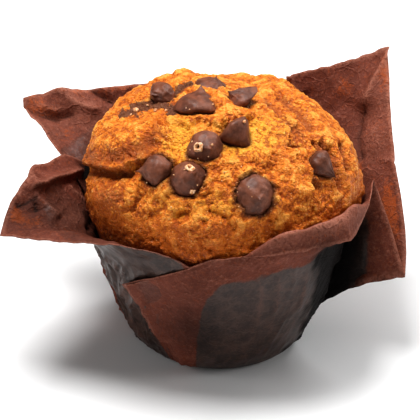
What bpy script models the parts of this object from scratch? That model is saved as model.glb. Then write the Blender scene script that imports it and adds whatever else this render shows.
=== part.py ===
"""A domed chocolate chip muffin in the square sheet of brown paper that it was baked in.

The sheet is pressed into a round cup. Its four corners stand out as petals, and the slack
between them is taken up by four pleats: three lie flat against the cup, and the right one
stands out as a fin. The cake fills the cup and mushrooms over its rim, and whole chocolate
chips sit in pockets of the crust.

The origin is the centre of the cup's flat bottom, +Z is up and the front faces -Y. Angles
run anticlockwise from +X, seen from above.
"""

import math
from dataclasses import dataclass, replace

import bmesh
import bpy
from mathutils import Matrix, Vector

MM = 0.001

# The cup, measured on the middle of the paper.
BASE_RADIUS = 24.3 * MM
WALL_SPREAD = 15.3 * MM
WALL_SPREAD_HEIGHT = 36 * MM
WALL_CURVE = 0.6
PAPER = 0.5 * MM
PLEAT_LAYER = 0.95 * MM
PLEAT_LAYER_RISE = 4 * MM
GAP = 0.3 * MM

# The cake: a dome on a ledge that hangs over the top of the cup.
DOME_RADIUS = 44.4 * MM
DOME_HEIGHT = 32 * MM
DOME_MIDDLE = 56.5 * MM
LEDGE_BOTTOM = 46 * MM
CAKE_SLACK = 0.35 * MM
DOME_SHIFT = 0.9 * MM

# How finely the surfaces are divided.
PETAL_COLUMNS = 8
PLEAT_COLUMNS = 4
BASE_ROWS = 2
WALL_ROWS = 5
FLARE_ROWS = 6
CAKE_TURNS = 56
CAKE_DOME_ROWS = 13
CAKE_WALL_ROWS = 5
CHIP_TURNS = 12
CHIP_ROWS = 6


def smooth(share):
    """A soft step from 0 to 1."""
    share = min(max(share, 0.0), 1.0)
    return share * share * (3 - 2 * share)


def lerp(start, end, share):
    return start + (end - start) * share


def bezier(start, knee, end, share):
    return start * (1 - share) ** 2 + knee * (2 * share * (1 - share)) + end * share**2


def polar(radius, degrees, height):
    angle = math.radians(degrees)
    return Vector((radius * math.cos(angle), radius * math.sin(angle), height))


def millimetres(x, y, z):
    return Vector((x, y, z)) * MM


def wall_radius(height):
    """The cup's radius: it turns up sharply at the heel and then opens steadily."""
    share = max(height, 0.0) / WALL_SPREAD_HEIGHT
    return BASE_RADIUS + WALL_SPREAD * share**WALL_CURVE


def material(name, colour, roughness):
    made = bpy.data.materials.new(name)
    made.use_nodes = True
    shader = made.node_tree.nodes["Principled BSDF"]
    shader.inputs["Base Color"].default_value = (*colour, 1)
    shader.inputs["Roughness"].default_value = roughness
    shader.inputs["Metallic"].default_value = 0
    return made


def add_object(name, mesh_maker, finish):
    """Makes an object of a bmesh and shades it smooth."""
    mesh = bpy.data.meshes.new(name)
    mesh_maker.to_mesh(mesh)
    mesh_maker.free()
    mesh.materials.append(finish)
    mesh.shade_smooth()
    made = bpy.data.objects.new(name, mesh)
    bpy.context.collection.objects.link(made)
    return made


# The paper case


@dataclass(frozen=True)
class Line:
    """One line of the sheet, from the cup's heel up the wall and out to the cut edge."""

    foot: float
    top: Vector
    leave: float
    knee: float
    knee_out: float = 0.0
    layer: float = 0.0

    def towards(self, other, share):
        """The line part of the way round to another, its top on the arc between their tops."""
        start, end = (math.hypot(line.top.x, line.top.y) for line in (self, other))
        turn = math.remainder(other.top_degrees() - self.top_degrees(), 360)
        top = polar(
            lerp(start, end, share),
            self.top_degrees() + turn * share,
            lerp(self.top.z, other.top.z, share),
        )
        return self.with_top(other, share, top)

    def with_top(self, other, share, top):
        return Line(
            lerp(self.foot, other.foot, share),
            top,
            lerp(self.leave, other.leave, share),
            lerp(self.knee, other.knee, share),
            lerp(self.knee_out, other.knee_out, share),
            lerp(self.layer, other.layer, share),
        )

    def top_degrees(self):
        return math.degrees(math.atan2(self.top.y, self.top.x))

    def points(self):
        """The line's points from the middle of the base to the cut edge."""
        leave_radius = wall_radius(self.leave)
        top_radius = math.hypot(self.top.x, self.top.y)
        flare = math.hypot(self.top.z - self.leave, top_radius - leave_radius)
        turn = math.remainder(self.top_degrees() - self.foot, 360)
        turn_per_length = turn / (self.leave + flare)
        rows = [
            polar(BASE_RADIUS * row / BASE_ROWS, self.foot, PAPER / 2)
            for row in range(BASE_ROWS)
        ]
        for row in range(WALL_ROWS + 1):
            height = self.leave * (row / WALL_ROWS) ** 1.4
            stand_off = self.stand_off(height)
            degrees = self.foot + turn_per_length * height
            rows.append(polar(wall_radius(height) + stand_off, degrees, height + PAPER / 2))
        knee_degrees = self.foot + turn_per_length * (self.leave + flare / 2)
        knee_radius = wall_radius(self.knee) + self.stand_off(self.knee) + self.knee_out
        knee = polar(knee_radius, knee_degrees, self.knee)
        for row in range(1, FLARE_ROWS + 1):
            point = bezier(rows[BASE_ROWS + WALL_ROWS], knee, self.top, row / FLARE_ROWS)
            rows.append(self.off_the_wall(point))
        return rows

    def stand_off(self, height):
        return self.layer * PLEAT_LAYER * smooth(height / PLEAT_LAYER_RISE)

    def off_the_wall(self, point):
        radius = math.hypot(point.x, point.y)
        least = wall_radius(point.z) + self.stand_off(point.z)
        if radius >= least:
            return point
        return Vector((point.x * least / radius, point.y * least / radius, point.z))


@dataclass(frozen=True)
class Pleat:
    """Slack paper between two petals: out to a crease, which ends at the tip, and back."""

    first: Line
    crease: Line
    second: Line

    def lines(self):
        for start, end in ((self.first, self.crease), (self.crease, self.second)):
            for column in range(PLEAT_COLUMNS):
                yield start.towards(end, column / PLEAT_COLUMNS)


@dataclass(frozen=True)
class Bow:
    """How far a cut edge bends off the straight line between its ends, and where most."""

    reach: Vector
    skew: float = 1.0

    def edge(self, start, end, share):
        return start.lerp(end, share) + self.reach * math.sin(math.pi * share**self.skew)


@dataclass(frozen=True)
class Petal:
    """A corner of the sheet, with the bow of the cut edge on each side of it."""

    corner: Line
    before: Bow
    after: Bow

    def lines(self, first, last):
        tip = self.corner
        for column in range(PETAL_COLUMNS):
            share = column / PETAL_COLUMNS
            line = first.with_top(tip, share, self.before.edge(first.top, tip.top, share))
            yield replace(line, layer=first.layer * (1 - smooth(2 * share)))
        for column in range(PETAL_COLUMNS):
            share = column / PETAL_COLUMNS
            yield tip.with_top(last, share, self.after.edge(tip.top, last.top, share))


def laid_pleat(foot, first_top, tip, second_top, bulge):
    """A pleat folded flat against the cup, clockwise of where its two petals meet."""
    low = 0.62 * tip.z
    return Pleat(
        Line(foot - 3, first_top, 34 * MM, 45 * MM, bulge),
        Line(foot, tip, low, lerp(low, tip.z, 0.5), 0, 1),
        Line(foot + 3, second_top, 34 * MM, 45 * MM, bulge, 2),
    )


FRONT_PLEAT = laid_pleat(
    240,
    millimetres(-7.5, -44, 49.5),
    millimetres(-30.6, -27.6, 34),
    millimetres(-2.8, -46, 54),
    1.2 * MM,
)
BACK_PLEAT = laid_pleat(
    438,
    millimetres(21.6, 43.5, 71.4),
    millimetres(38, 24, 42),
    millimetres(18, 47, 68.5),
    2.4 * MM,
)
LEFT_PLEAT = laid_pleat(
    537,
    millimetres(-46.2, 8, 52),
    millimetres(-32, 30, 38),
    millimetres(-50.5, 14, 57.5),
    1.4 * MM,
)
RIGHT_PLEAT = Pleat(
    Line(352, millimetres(48.8, -0.5, 55.2), 30 * MM, 44 * MM, 1 * MM),
    Line(357, millimetres(58.7, -15, 28.6), 7 * MM, 17 * MM, 1 * MM),
    Line(368, millimetres(57, 10, 52.4), 14 * MM, 34 * MM, 3 * MM),
)

FRONT_RIGHT = Petal(
    Line(300, millimetres(39.3, -35, 53.8), 38 * MM, 50 * MM, 1.5 * MM),
    Bow(millimetres(0.5, -3.5, 1)),
    Bow(millimetres(1.2, -0.8, 0.5)),
)
BACK_RIGHT = Petal(
    Line(405, millimetres(57.2, 48.5, 79.6), 38 * MM, 50 * MM, 1 * MM),
    Bow(millimetres(-1, 0, -0.5)),
    Bow(millimetres(0, 0.5, -1.5)),
)
BACK_LEFT = Petal(
    Line(489, millimetres(-65.3, 41.5, 64), 38 * MM, 50 * MM),
    Bow(millimetres(0, 1.5, 0.8)),
    Bow(millimetres(-0.2, -0.5, -0.2)),
)
FRONT_LEFT = Petal(
    Line(570, millimetres(-68, -24, 49.5), 36 * MM, 49 * MM, 2 * MM),
    Bow(millimetres(-2.5, 0, 5.5)),
    Bow(millimetres(-2, -4.5, 5.7), 2),
)


def paper_columns():
    """Every line of the sheet, anticlockwise from the front pleat."""
    pleats = (FRONT_PLEAT, RIGHT_PLEAT, BACK_PLEAT, LEFT_PLEAT, FRONT_PLEAT)
    petals = (FRONT_RIGHT, BACK_RIGHT, BACK_LEFT, FRONT_LEFT)
    for number, petal in enumerate(petals):
        first = pleats[number]
        last = pleats[number + 1].first
        if last.foot < petal.corner.foot:
            last = replace(last, foot=last.foot + 360)
        yield from first.lines()
        yield from petal.lines(first.second, last)


def make_paper_case(finish):
    columns = [line.points() for line in paper_columns()]
    row_count = len(columns[0])
    sheet = bmesh.new()
    bmesh.ops.create_grid(
        sheet, x_segments=len(columns), y_segments=row_count - 1, size=1
    )
    for vertex in sheet.verts:
        column = round((vertex.co.x + 1) / 2 * len(columns)) % len(columns)
        row = round((vertex.co.y + 1) / 2 * (row_count - 1))
        vertex.co = columns[column][row]
    bmesh.ops.remove_doubles(sheet, verts=sheet.verts, dist=0.001 * MM)
    bmesh.ops.reverse_faces(sheet, faces=sheet.faces)
    case = add_object("paper_case", sheet, finish)
    wall = case.modifiers.new("Paper", "SOLIDIFY")
    wall.thickness = PAPER
    wall.offset = 0
    return case


# The cake


@dataclass(frozen=True)
class Swell:
    """A lump of the crust, or a hollow where its height is negative.

    It is centred this far round and this far up the dome, and it fades over its length,
    which runs round the dome unless it slants, and over its width.
    """

    degrees: float
    rise: float
    height: float
    length: float
    width: float
    slant: float = 0.0

    def at(self, place):
        """The height here. The place is a point of the dome drawn back to a unit ball."""
        middle = polar(math.cos(math.radians(self.rise)), self.degrees, 0)
        middle.z = math.sin(math.radians(self.rise))
        around = polar(1, self.degrees + 90, 0)
        upward = middle.cross(around)
        slant = math.radians(self.slant)
        offset = (place - middle) * DOME_RADIUS
        along = offset.dot(around * math.cos(slant) + upward * math.sin(slant))
        aside = offset.dot(upward * math.cos(slant) - around * math.sin(slant))
        same_side = place.dot(middle) > 0
        reach = (along / self.length) ** 2 + (aside / self.width) ** 2
        return self.height * math.exp(-reach) if same_side else 0.0


SWELLS = (
    Swell(190, 22, 2.2 * MM, 17 * MM, 9 * MM),
    Swell(206, 9, -4.6 * MM, 12 * MM, 2.8 * MM, 14),
    Swell(216, -4, 1.4 * MM, 14 * MM, 9 * MM),
    Swell(285, -6, 1.0 * MM, 30 * MM, 6 * MM),
    Swell(240, 66, 1.2 * MM, 10 * MM, 7 * MM),
    Swell(262, 58, -1.4 * MM, 9 * MM, 5 * MM),
    Swell(45, 68, -4.6 * MM, 20 * MM, 15 * MM),
    Swell(316, 40, -1.2 * MM, 9 * MM, 4 * MM, 30),
    Swell(295, 33, -1.2 * MM, 6 * MM, 4 * MM),
    Swell(230, 50, -1.3 * MM, 7 * MM, 6 * MM),
    Swell(345, 20, 0.8 * MM, 14 * MM, 10 * MM),
    Swell(60, 30, 1.5 * MM, 18 * MM, 10 * MM, 20),
    Swell(100, 12, -1.3 * MM, 15 * MM, 4.5 * MM, -12),
    Swell(140, 34, 1.2 * MM, 14 * MM, 10 * MM),
)


def cake_profile():
    """The turned outline of the cake, from the middle of its bottom to the top."""
    floor = PAPER + GAP
    outline = [Vector((0, 0, floor))]
    inset = PAPER / 2 + GAP + CAKE_SLACK
    for row in range(CAKE_WALL_ROWS + 1):
        height = lerp(floor, LEDGE_BOTTOM, (row / CAKE_WALL_ROWS) ** 1.3)
        outline.append(Vector((wall_radius(height - floor) - inset, 0, height)))
    for row in range(CAKE_DOME_ROWS + 1):
        rise = math.radians(lerp(-28, 90, row / CAKE_DOME_ROWS))
        drop = DOME_HEIGHT if rise > 0 else 17 * MM
        tuck = 1 if rise > 0 else math.cos(rise) ** -0.72
        radius = DOME_RADIUS * math.cos(rise) * tuck
        outline.append(Vector((radius, 0, DOME_MIDDLE + drop * math.sin(rise))))
    outline[-1].x = 0
    return outline


def lumpy(point):
    """Moves a point of the dome out or in with the lumps of the crust."""
    above = point.z - DOME_MIDDLE
    place = Vector((point.x / DOME_RADIUS, point.y / DOME_RADIUS, above / DOME_HEIGHT))
    height = sum(swell.at(place.normalized()) for swell in SWELLS)
    out = Vector((point.x, point.y, max(above, 0) * 1.6)).normalized()
    shift = Vector((DOME_SHIFT, 0, 0))
    return point + (out * height + shift) * smooth((point.z - LEDGE_BOTTOM) / (5 * MM))


def make_cake(finish, pockets):
    cake = bmesh.new()
    outline = [cake.verts.new(point) for point in cake_profile()]
    edges = [cake.edges.new(pair) for pair in zip(outline, outline[1:])]
    bmesh.ops.spin(
        cake,
        geom=outline + edges,
        cent=(0, 0, 0),
        axis=(0, 0, 1),
        angle=math.tau,
        steps=CAKE_TURNS,
        use_merge=True,
    )
    bmesh.ops.remove_doubles(cake, verts=cake.verts, dist=0.01 * MM)
    for vertex in cake.verts:
        vertex.co = lumpy(vertex.co)
    bmesh.ops.recalc_face_normals(cake, faces=cake.faces)
    made = add_object("cake", cake, finish)
    for pocket in pockets:
        cut = made.modifiers.new(pocket.name, "BOOLEAN")
        cut.operation = "DIFFERENCE"
        cut.object = pocket
    return made


# The chocolate chips


@dataclass(frozen=True)
class Chip:
    """A chip: a drop with a round, flattish foot, which leans with its tip along an axis."""

    name: str
    middle: Vector
    radius: float
    height: float
    axis: Vector
    squash: float = 1.0

    def outline(self, margin):
        """The turned outline from the foot to the tip, grown by a margin all round."""
        radius = self.radius + margin
        height = self.height + 2 * margin
        belly = 0.34
        points = []
        for row in range(CHIP_ROWS + 1):
            share = row / CHIP_ROWS
            if share < belly:
                width = math.sqrt(1 - (1 - share / belly) ** 2) ** 0.8
            else:
                width = math.cos(math.pi / 2 * (share - belly) / (1 - belly)) ** 0.9
            points.append(Vector((radius * width, 0, height * (share - 0.5))))
        points[0].x = points[-1].x = 0
        points.insert(1, Vector((radius * 0.55, 0, points[0].z * 0.985)))
        return points

    def place(self):
        turn = self.axis.to_track_quat("Z", "Y").to_matrix().to_4x4()
        flatten = Matrix.Diagonal((1, self.squash, 1, 1))
        return Matrix.Translation(self.middle) @ turn @ flatten

    def mesh(self, margin=0.0):
        drop = bmesh.new()
        outline = [drop.verts.new(point) for point in self.outline(margin)]
        edges = [drop.edges.new(pair) for pair in zip(outline, outline[1:])]
        bmesh.ops.spin(
            drop,
            geom=outline + edges,
            cent=(0, 0, 0),
            axis=(0, 0, 1),
            angle=math.tau,
            steps=CHIP_TURNS,
            use_merge=True,
        )
        bmesh.ops.remove_doubles(drop, verts=drop.verts, dist=0.01 * MM)
        bmesh.ops.transform(drop, matrix=self.place(), verts=drop.verts)
        bmesh.ops.recalc_face_normals(drop, faces=drop.faces)
        return drop


CHIPS = (
    Chip("chip_smeared", millimetres(-17.2, 3.2, 84.4), 5.6 * MM, 7.4 * MM, millimetres(-3, -2, 1), 0.75),
    Chip("chip_peaked", millimetres(-8, -8.2, 87), 6.7 * MM, 9.4 * MM, millimetres(0, 1.2, 3)),
    Chip("chip_skyline", millimetres(-4.2, 7.4, 85.4), 5.8 * MM, 6.4 * MM, millimetres(1, 0.2, 3)),
    Chip("chip_top_right", millimetres(7.4, -5, 86), 5.3 * MM, 7 * MM, millimetres(-1, 1, 2)),
    Chip("chip_leaning", millimetres(5.6, -22, 83.2), 5.2 * MM, 11 * MM, millimetres(1.7, -1.6, -1.4)),
    Chip("chip_ringed", millimetres(-4.4, -27.8, 81.2), 5.6 * MM, 9 * MM, millimetres(0.4, -2.5, 1.4)),
    Chip("chip_left", millimetres(-21, -30.2, 75), 5.6 * MM, 10 * MM, millimetres(-3, -1, 0.4)),
    Chip("chip_beaded", millimetres(-9.6, -35.6, 74.2), 5.7 * MM, 9 * MM, millimetres(0.1, -2.2, 1.8)),
    Chip("chip_largest", millimetres(10.1, -38, 70.7), 6.5 * MM, 9.6 * MM, millimetres(0.5, -2.5, 0.9)),
    Chip("chip_right", millimetres(31.4, -23, 72.9), 4.3 * MM, 10 * MM, millimetres(1.7, -1.1, -1.4)),
)


def make_chip(chip, finish):
    return add_object(chip.name, chip.mesh(), finish)


def make_pocket(chip, finish):
    """The hollow that the chip sits in, a little larger than the chip."""
    pocket = add_object(f"pocket_for_{chip.name}", chip.mesh(GAP), finish)
    pocket.hide_render = True
    pocket.display_type = "WIRE"
    return pocket


def main():
    for found in list(bpy.data.objects):
        bpy.data.objects.remove(found, do_unlink=True)
    paper = material("Brown greaseproof paper", (0.075, 0.03, 0.02), 0.5)
    crust = material("Golden brown crust", (0.62, 0.28, 0.07), 0.7)
    chocolate = material("Milk chocolate", (0.07, 0.026, 0.016), 0.35)
    make_paper_case(paper)
    pockets = [make_pocket(chip, chocolate) for chip in CHIPS]
    make_cake(crust, pockets)
    for chip in CHIPS:
        make_chip(chip, chocolate)


main()
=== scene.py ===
"""The looks of a domed chocolate chip muffin in the square of brown paper it was baked in.

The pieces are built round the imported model: the crust with its ledges, clefts and pores, the
chips pressed into it, the crumbs that lie on top, and the creased paper. Each is a closed mesh.

Lengths are millimetres until a piece is added to the scene, which scales it to metres. The
origin is the centre of the cup's flat bottom, +Z is up and the front faces -Y. Angles run
anticlockwise from +X, seen from above. Places on the front of the muffin are given on its
face: the flat chart that it makes when seen from the front and 30 degrees above, with u to the
right and v up. One unit of the chart is a millimetre at the muffin's middle.
"""

import logging
import math
from collections.abc import Iterable, Iterator, Sequence
from dataclasses import dataclass, field, replace
from enum import Enum, IntEnum

import bmesh
import bpy
import numpy as np
from mathutils import Matrix, Vector, noise
from mathutils.bvhtree import BVHTree


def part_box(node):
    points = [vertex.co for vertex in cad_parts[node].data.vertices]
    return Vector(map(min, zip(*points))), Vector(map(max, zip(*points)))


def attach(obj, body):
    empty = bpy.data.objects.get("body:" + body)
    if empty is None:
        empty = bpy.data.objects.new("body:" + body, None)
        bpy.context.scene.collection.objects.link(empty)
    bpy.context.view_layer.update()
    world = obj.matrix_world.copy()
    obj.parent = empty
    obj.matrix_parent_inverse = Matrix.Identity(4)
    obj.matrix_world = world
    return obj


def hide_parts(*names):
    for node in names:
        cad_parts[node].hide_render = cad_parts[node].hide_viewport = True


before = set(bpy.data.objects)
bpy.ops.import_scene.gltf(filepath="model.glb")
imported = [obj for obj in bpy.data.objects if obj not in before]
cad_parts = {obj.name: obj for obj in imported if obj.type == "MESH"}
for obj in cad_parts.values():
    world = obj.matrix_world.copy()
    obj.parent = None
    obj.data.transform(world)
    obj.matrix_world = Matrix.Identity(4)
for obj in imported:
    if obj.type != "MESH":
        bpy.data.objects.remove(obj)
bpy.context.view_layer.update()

LOG = logging.getLogger("muffin")
MM = 0.001

Colour = tuple[float, float, float]
Number = "float | Signal"
FacePoint = tuple[float, float]


class Slot(Enum):
    """The record's material slots."""

    CRUST = "crust"
    CHOCOLATE = "chocolate"
    PAPER = "paper"


# Sums


def smooth(share: np.ndarray | float) -> np.ndarray | float:
    """A soft step from 0 to 1."""
    share = np.clip(share, 0.0, 1.0)
    return share * share * (3 - 2 * share)


def lerp(start: float, end: float, share: float) -> float:
    """The value part of the way from start to end."""
    return start + (end - start) * share


def bezier(start: Vector, knee: Vector, end: Vector, share: float) -> Vector:
    """A point of the curve from start to end that leans towards the knee."""
    return start * (1 - share) ** 2 + knee * (2 * share * (1 - share)) + end * share**2


def polar(radius: float, degrees: float, height: float) -> Vector:
    """The point at this distance from the axis, this far round and this high."""
    angle = math.radians(degrees)
    return Vector((radius * math.cos(angle), radius * math.sin(angle), height))


def rolling(places: np.ndarray, size: float, octaves: int = 2, seed: float = 0.0) -> np.ndarray:
    """Soft noise from about -1 to 1.

    Args:
        places: The points to read it at.
        size: How wide its lumps are.
        octaves: How many finer layers it has.
        seed: Moves the pattern to another part of the noise.

    Returns:
        The noise at each place.
    """
    shift = Vector((17.3, 5.1, 9.7)) * seed
    return np.array(
        [noise.fractal(Vector(place) / size + shift, 1, 2, octaves) for place in places.tolist()]
    )


def cells(places: np.ndarray, size: float, seed: float = 0.0) -> np.ndarray:
    """The distance to the nearest of a scatter of points, in units of their spacing.

    Args:
        places: The points to read it at.
        size: The spacing of the scatter.
        seed: Moves the pattern.

    Returns:
        The distance at each place.
    """
    shift = Vector((7.9, 13.1, 3.3)) * seed
    return np.array(
        [noise.voronoi(Vector(place) / size + shift)[0][0] for place in places.tolist()]
    )


def oval(along: np.ndarray, aside: np.ndarray, length: float, width: float) -> np.ndarray:
    """How much of a soft oval each place gets: 1 in its middle, less beyond its size."""
    return np.exp(-((along / length) ** 2) - (aside / width) ** 2)


def tapered(along: np.ndarray, taper: float) -> np.ndarray:
    """A share that fades out over this much of each end of a line."""
    return smooth(along / taper) * smooth((1 - along) / taper)


# The muffin's face


class Face:
    """The picture of the muffin from the front and above, which places on it are given on."""

    RISE = math.radians(30)
    TARGET = Vector((-3.2, 0, 44.5))
    DISTANCE = 620.0
    LEVEL = -10.4
    TOWARDS_VIEWER = Vector((0, -math.cos(RISE), math.sin(RISE)))
    UPWARD = Vector((0, math.sin(RISE), math.cos(RISE)))

    @classmethod
    def chart(cls, places: np.ndarray) -> np.ndarray:
        """The u and v of points in space: where they are seen on the plane of the target."""
        offset = places - np.array(cls.TARGET)
        nearer = cls.DISTANCE / (cls.DISTANCE - offset @ np.array(cls.TOWARDS_VIEWER))
        up = offset @ np.array(cls.UPWARD) * nearer + cls.LEVEL
        return np.stack([offset[:, 0] * nearer + cls.TARGET.x, up], axis=1)

    @classmethod
    def eye(cls) -> Vector:
        """Where the muffin is seen from."""
        return cls.TARGET + cls.TOWARDS_VIEWER * cls.DISTANCE

    @classmethod
    def sight(cls, u: float, v: float) -> Vector:
        """The direction from the eye to what is seen at this u and v."""
        across = Vector((u - cls.TARGET.x, 0, 0))
        return (cls.TARGET + across + cls.UPWARD * (v - cls.LEVEL) - cls.eye()).normalized()


def reach(chart: np.ndarray, line: Sequence[FacePoint]) -> tuple[np.ndarray, np.ndarray]:
    """How far places are from a line of straight runs.

    Args:
        chart: The u and v of the places.
        line: The line's corners.

    Returns:
        The distance of each place, positive on the line's left, and how far along the line
        its nearest point is, from 0 to 1.
    """
    corners = np.array(line, float)
    lengths = np.hypot(*np.diff(corners, axis=0).T)
    nearest = np.full(len(chart), np.inf)
    signed = np.zeros(len(chart))
    along = np.zeros(len(chart))
    done = 0.0
    for start, end, length in zip(corners, corners[1:], lengths):
        run = (end - start) / length
        offset = chart - start
        travel = np.clip(offset @ run, 0, length)
        miss = offset - travel[:, None] * run
        distance = np.hypot(miss[:, 0], miss[:, 1])
        left = np.copysign(distance, run[0] * offset[:, 1] - run[1] * offset[:, 0])
        closer = distance < nearest
        nearest[closer] = distance[closer]
        signed[closer] = left[closer]
        along[closer] = (done + travel)[closer] / lengths.sum()
        done += length
    return signed, along


@dataclass(frozen=True)
class Patch:
    """A soft oval area of the face. Its amount is a height or the strength of a tint."""

    u: float
    v: float
    amount: float
    length: float
    width: float
    slant: float = 0.0

    def at(self, chart: np.ndarray) -> np.ndarray:
        """The amount at each place."""
        slant = math.radians(self.slant)
        offset = chart - np.array((self.u, self.v))
        along = offset @ np.array((math.cos(slant), math.sin(slant)))
        aside = offset @ np.array((-math.sin(slant), math.cos(slant)))
        return self.amount * oval(along, aside, self.length, self.width)


@dataclass(frozen=True)
class Lip:
    """A torn edge of the crust: it stands up on the left of a line and drops on its right.

    The rise fades over the run, and the drop over the fall. The edge is half as wide as the
    step between them, and the taper is the share of the line that each end fades over.
    """

    line: tuple[FacePoint, ...]
    rise: float
    run: float
    drop: float
    fall: float
    edge: float = 0.45
    taper: float = 0.12

    def at(self, chart: np.ndarray) -> np.ndarray:
        """The height at each place."""
        signed, along = reach(chart, self.line)
        up = self.rise * np.exp(-np.maximum(signed, 0) / self.run)
        down = -self.drop * np.exp(np.minimum(signed, 0) / self.fall)
        rising = smooth((signed + self.edge) / (2 * self.edge))
        return tapered(along, self.taper) * (down + (up - down) * rising)

    def scar(self, chart: np.ndarray, width: float) -> np.ndarray:
        """How strongly each place is marked as the raw side of the tear."""
        signed, along = reach(chart, self.line)
        raw = tapered(along, self.taper) * smooth((self.edge - signed) / self.edge)
        return raw * np.exp(np.minimum(signed, 0) / width)


@dataclass(frozen=True)
class Groove:
    """A line that is pressed in, or a ridge where its depth is negative."""

    line: tuple[FacePoint, ...]
    depth: float
    width: float
    taper: float = 0.15

    def at(self, chart: np.ndarray) -> np.ndarray:
        """The height at each place."""
        signed, along = reach(chart, self.line)
        return -self.depth * tapered(along, self.taper) * np.exp(-((signed / self.width) ** 2))


def total(features: Iterable[Patch | Lip | Groove], chart: np.ndarray) -> np.ndarray:
    """The sum of some features at each place."""
    return sum((feature.at(chart) for feature in features), np.zeros(len(chart)))


# Meshes


def places_of(shape: bmesh.types.BMesh) -> np.ndarray:
    """The places of a mesh's points."""
    return np.array([vertex.co for vertex in shape.verts])


def move_points(shape: bmesh.types.BMesh, places: np.ndarray) -> None:
    """Moves a mesh's points to these places."""
    for vertex, place in zip(shape.verts, places.tolist()):
        vertex.co = place


def paint(shape: bmesh.types.BMesh, name: str, values: np.ndarray) -> None:
    """Stores a value at each point of a mesh, for its finish to read."""
    layer = shape.verts.layers.float.new(name)
    for vertex, value in zip(shape.verts, values.tolist()):
        vertex[layer] = value


def millimetres(box: Iterable[Sequence[float]]) -> tuple[np.ndarray, np.ndarray]:
    """The low and the high corner of a box that is given in metres."""
    low, high = (np.array(corner) / MM for corner in box)
    return low, high


def add_object(name: str, data: bpy.types.ID | None) -> bpy.types.Object:
    """Adds an object to the scene, at the origin."""
    made = bpy.data.objects.new(name, data)
    bpy.context.collection.objects.link(made)
    return made


def add_piece(
    name: str,
    shape: bmesh.types.BMesh,
    finish: bpy.types.Material,
    slot: Slot,
    *replaced: str,
) -> bpy.types.Object:
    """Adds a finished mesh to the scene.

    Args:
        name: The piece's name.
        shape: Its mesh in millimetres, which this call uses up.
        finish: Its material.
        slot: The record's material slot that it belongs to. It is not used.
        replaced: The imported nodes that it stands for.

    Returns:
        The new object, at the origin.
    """
    bmesh.ops.scale(shape, vec=(MM, MM, MM), verts=shape.verts)
    mesh = bpy.data.meshes.new(name)
    shape.to_mesh(mesh)
    shape.free()
    mesh.materials.append(finish)
    mesh.shade_smooth()
    piece = add_object(name, mesh)
    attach(piece, "root")
    if replaced:
        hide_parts(*replaced)
    LOG.info("%s: %d points, %d faces", name, len(mesh.vertices), len(mesh.polygons))
    return piece


# Shader graphs


class Signal:
    """A number that varies over a surface. A sum with one adds the Math node that it needs."""

    def __init__(self, graph: "Graph", socket: bpy.types.NodeSocket) -> None:
        """Wraps an output socket of the graph."""
        self.graph = graph
        self.socket = socket

    def _sum(self, operation: str, first: Number, second: Number) -> "Signal":
        """Adds a Math node on two numbers."""
        made = self.graph.node("ShaderNodeMath", {"operation": operation}, {0: first, 1: second})
        return Signal(self.graph, made.outputs[0])

    def __add__(self, other: Number) -> "Signal":
        """self + other."""
        return self._sum("ADD", self, other)

    def __radd__(self, other: Number) -> "Signal":
        """other + self."""
        return self._sum("ADD", other, self)

    def __sub__(self, other: Number) -> "Signal":
        """self - other."""
        return self._sum("SUBTRACT", self, other)

    def __rsub__(self, other: Number) -> "Signal":
        """other - self."""
        return self._sum("SUBTRACT", other, self)

    def __mul__(self, other: Number) -> "Signal":
        """self * other."""
        return self._sum("MULTIPLY", self, other)

    def __rmul__(self, other: Number) -> "Signal":
        """other * self."""
        return self._sum("MULTIPLY", other, self)

    def step(self, low: float, high: float) -> "Signal":
        """A soft step from 0 to 1 as this number goes from low to high."""
        made = self.graph.node(
            "ShaderNodeMapRange",
            {"interpolation_type": "SMOOTHSTEP"},
            {"Value": self, "From Min": low, "From Max": high},
        )
        return Signal(self.graph, made.outputs[0])


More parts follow.
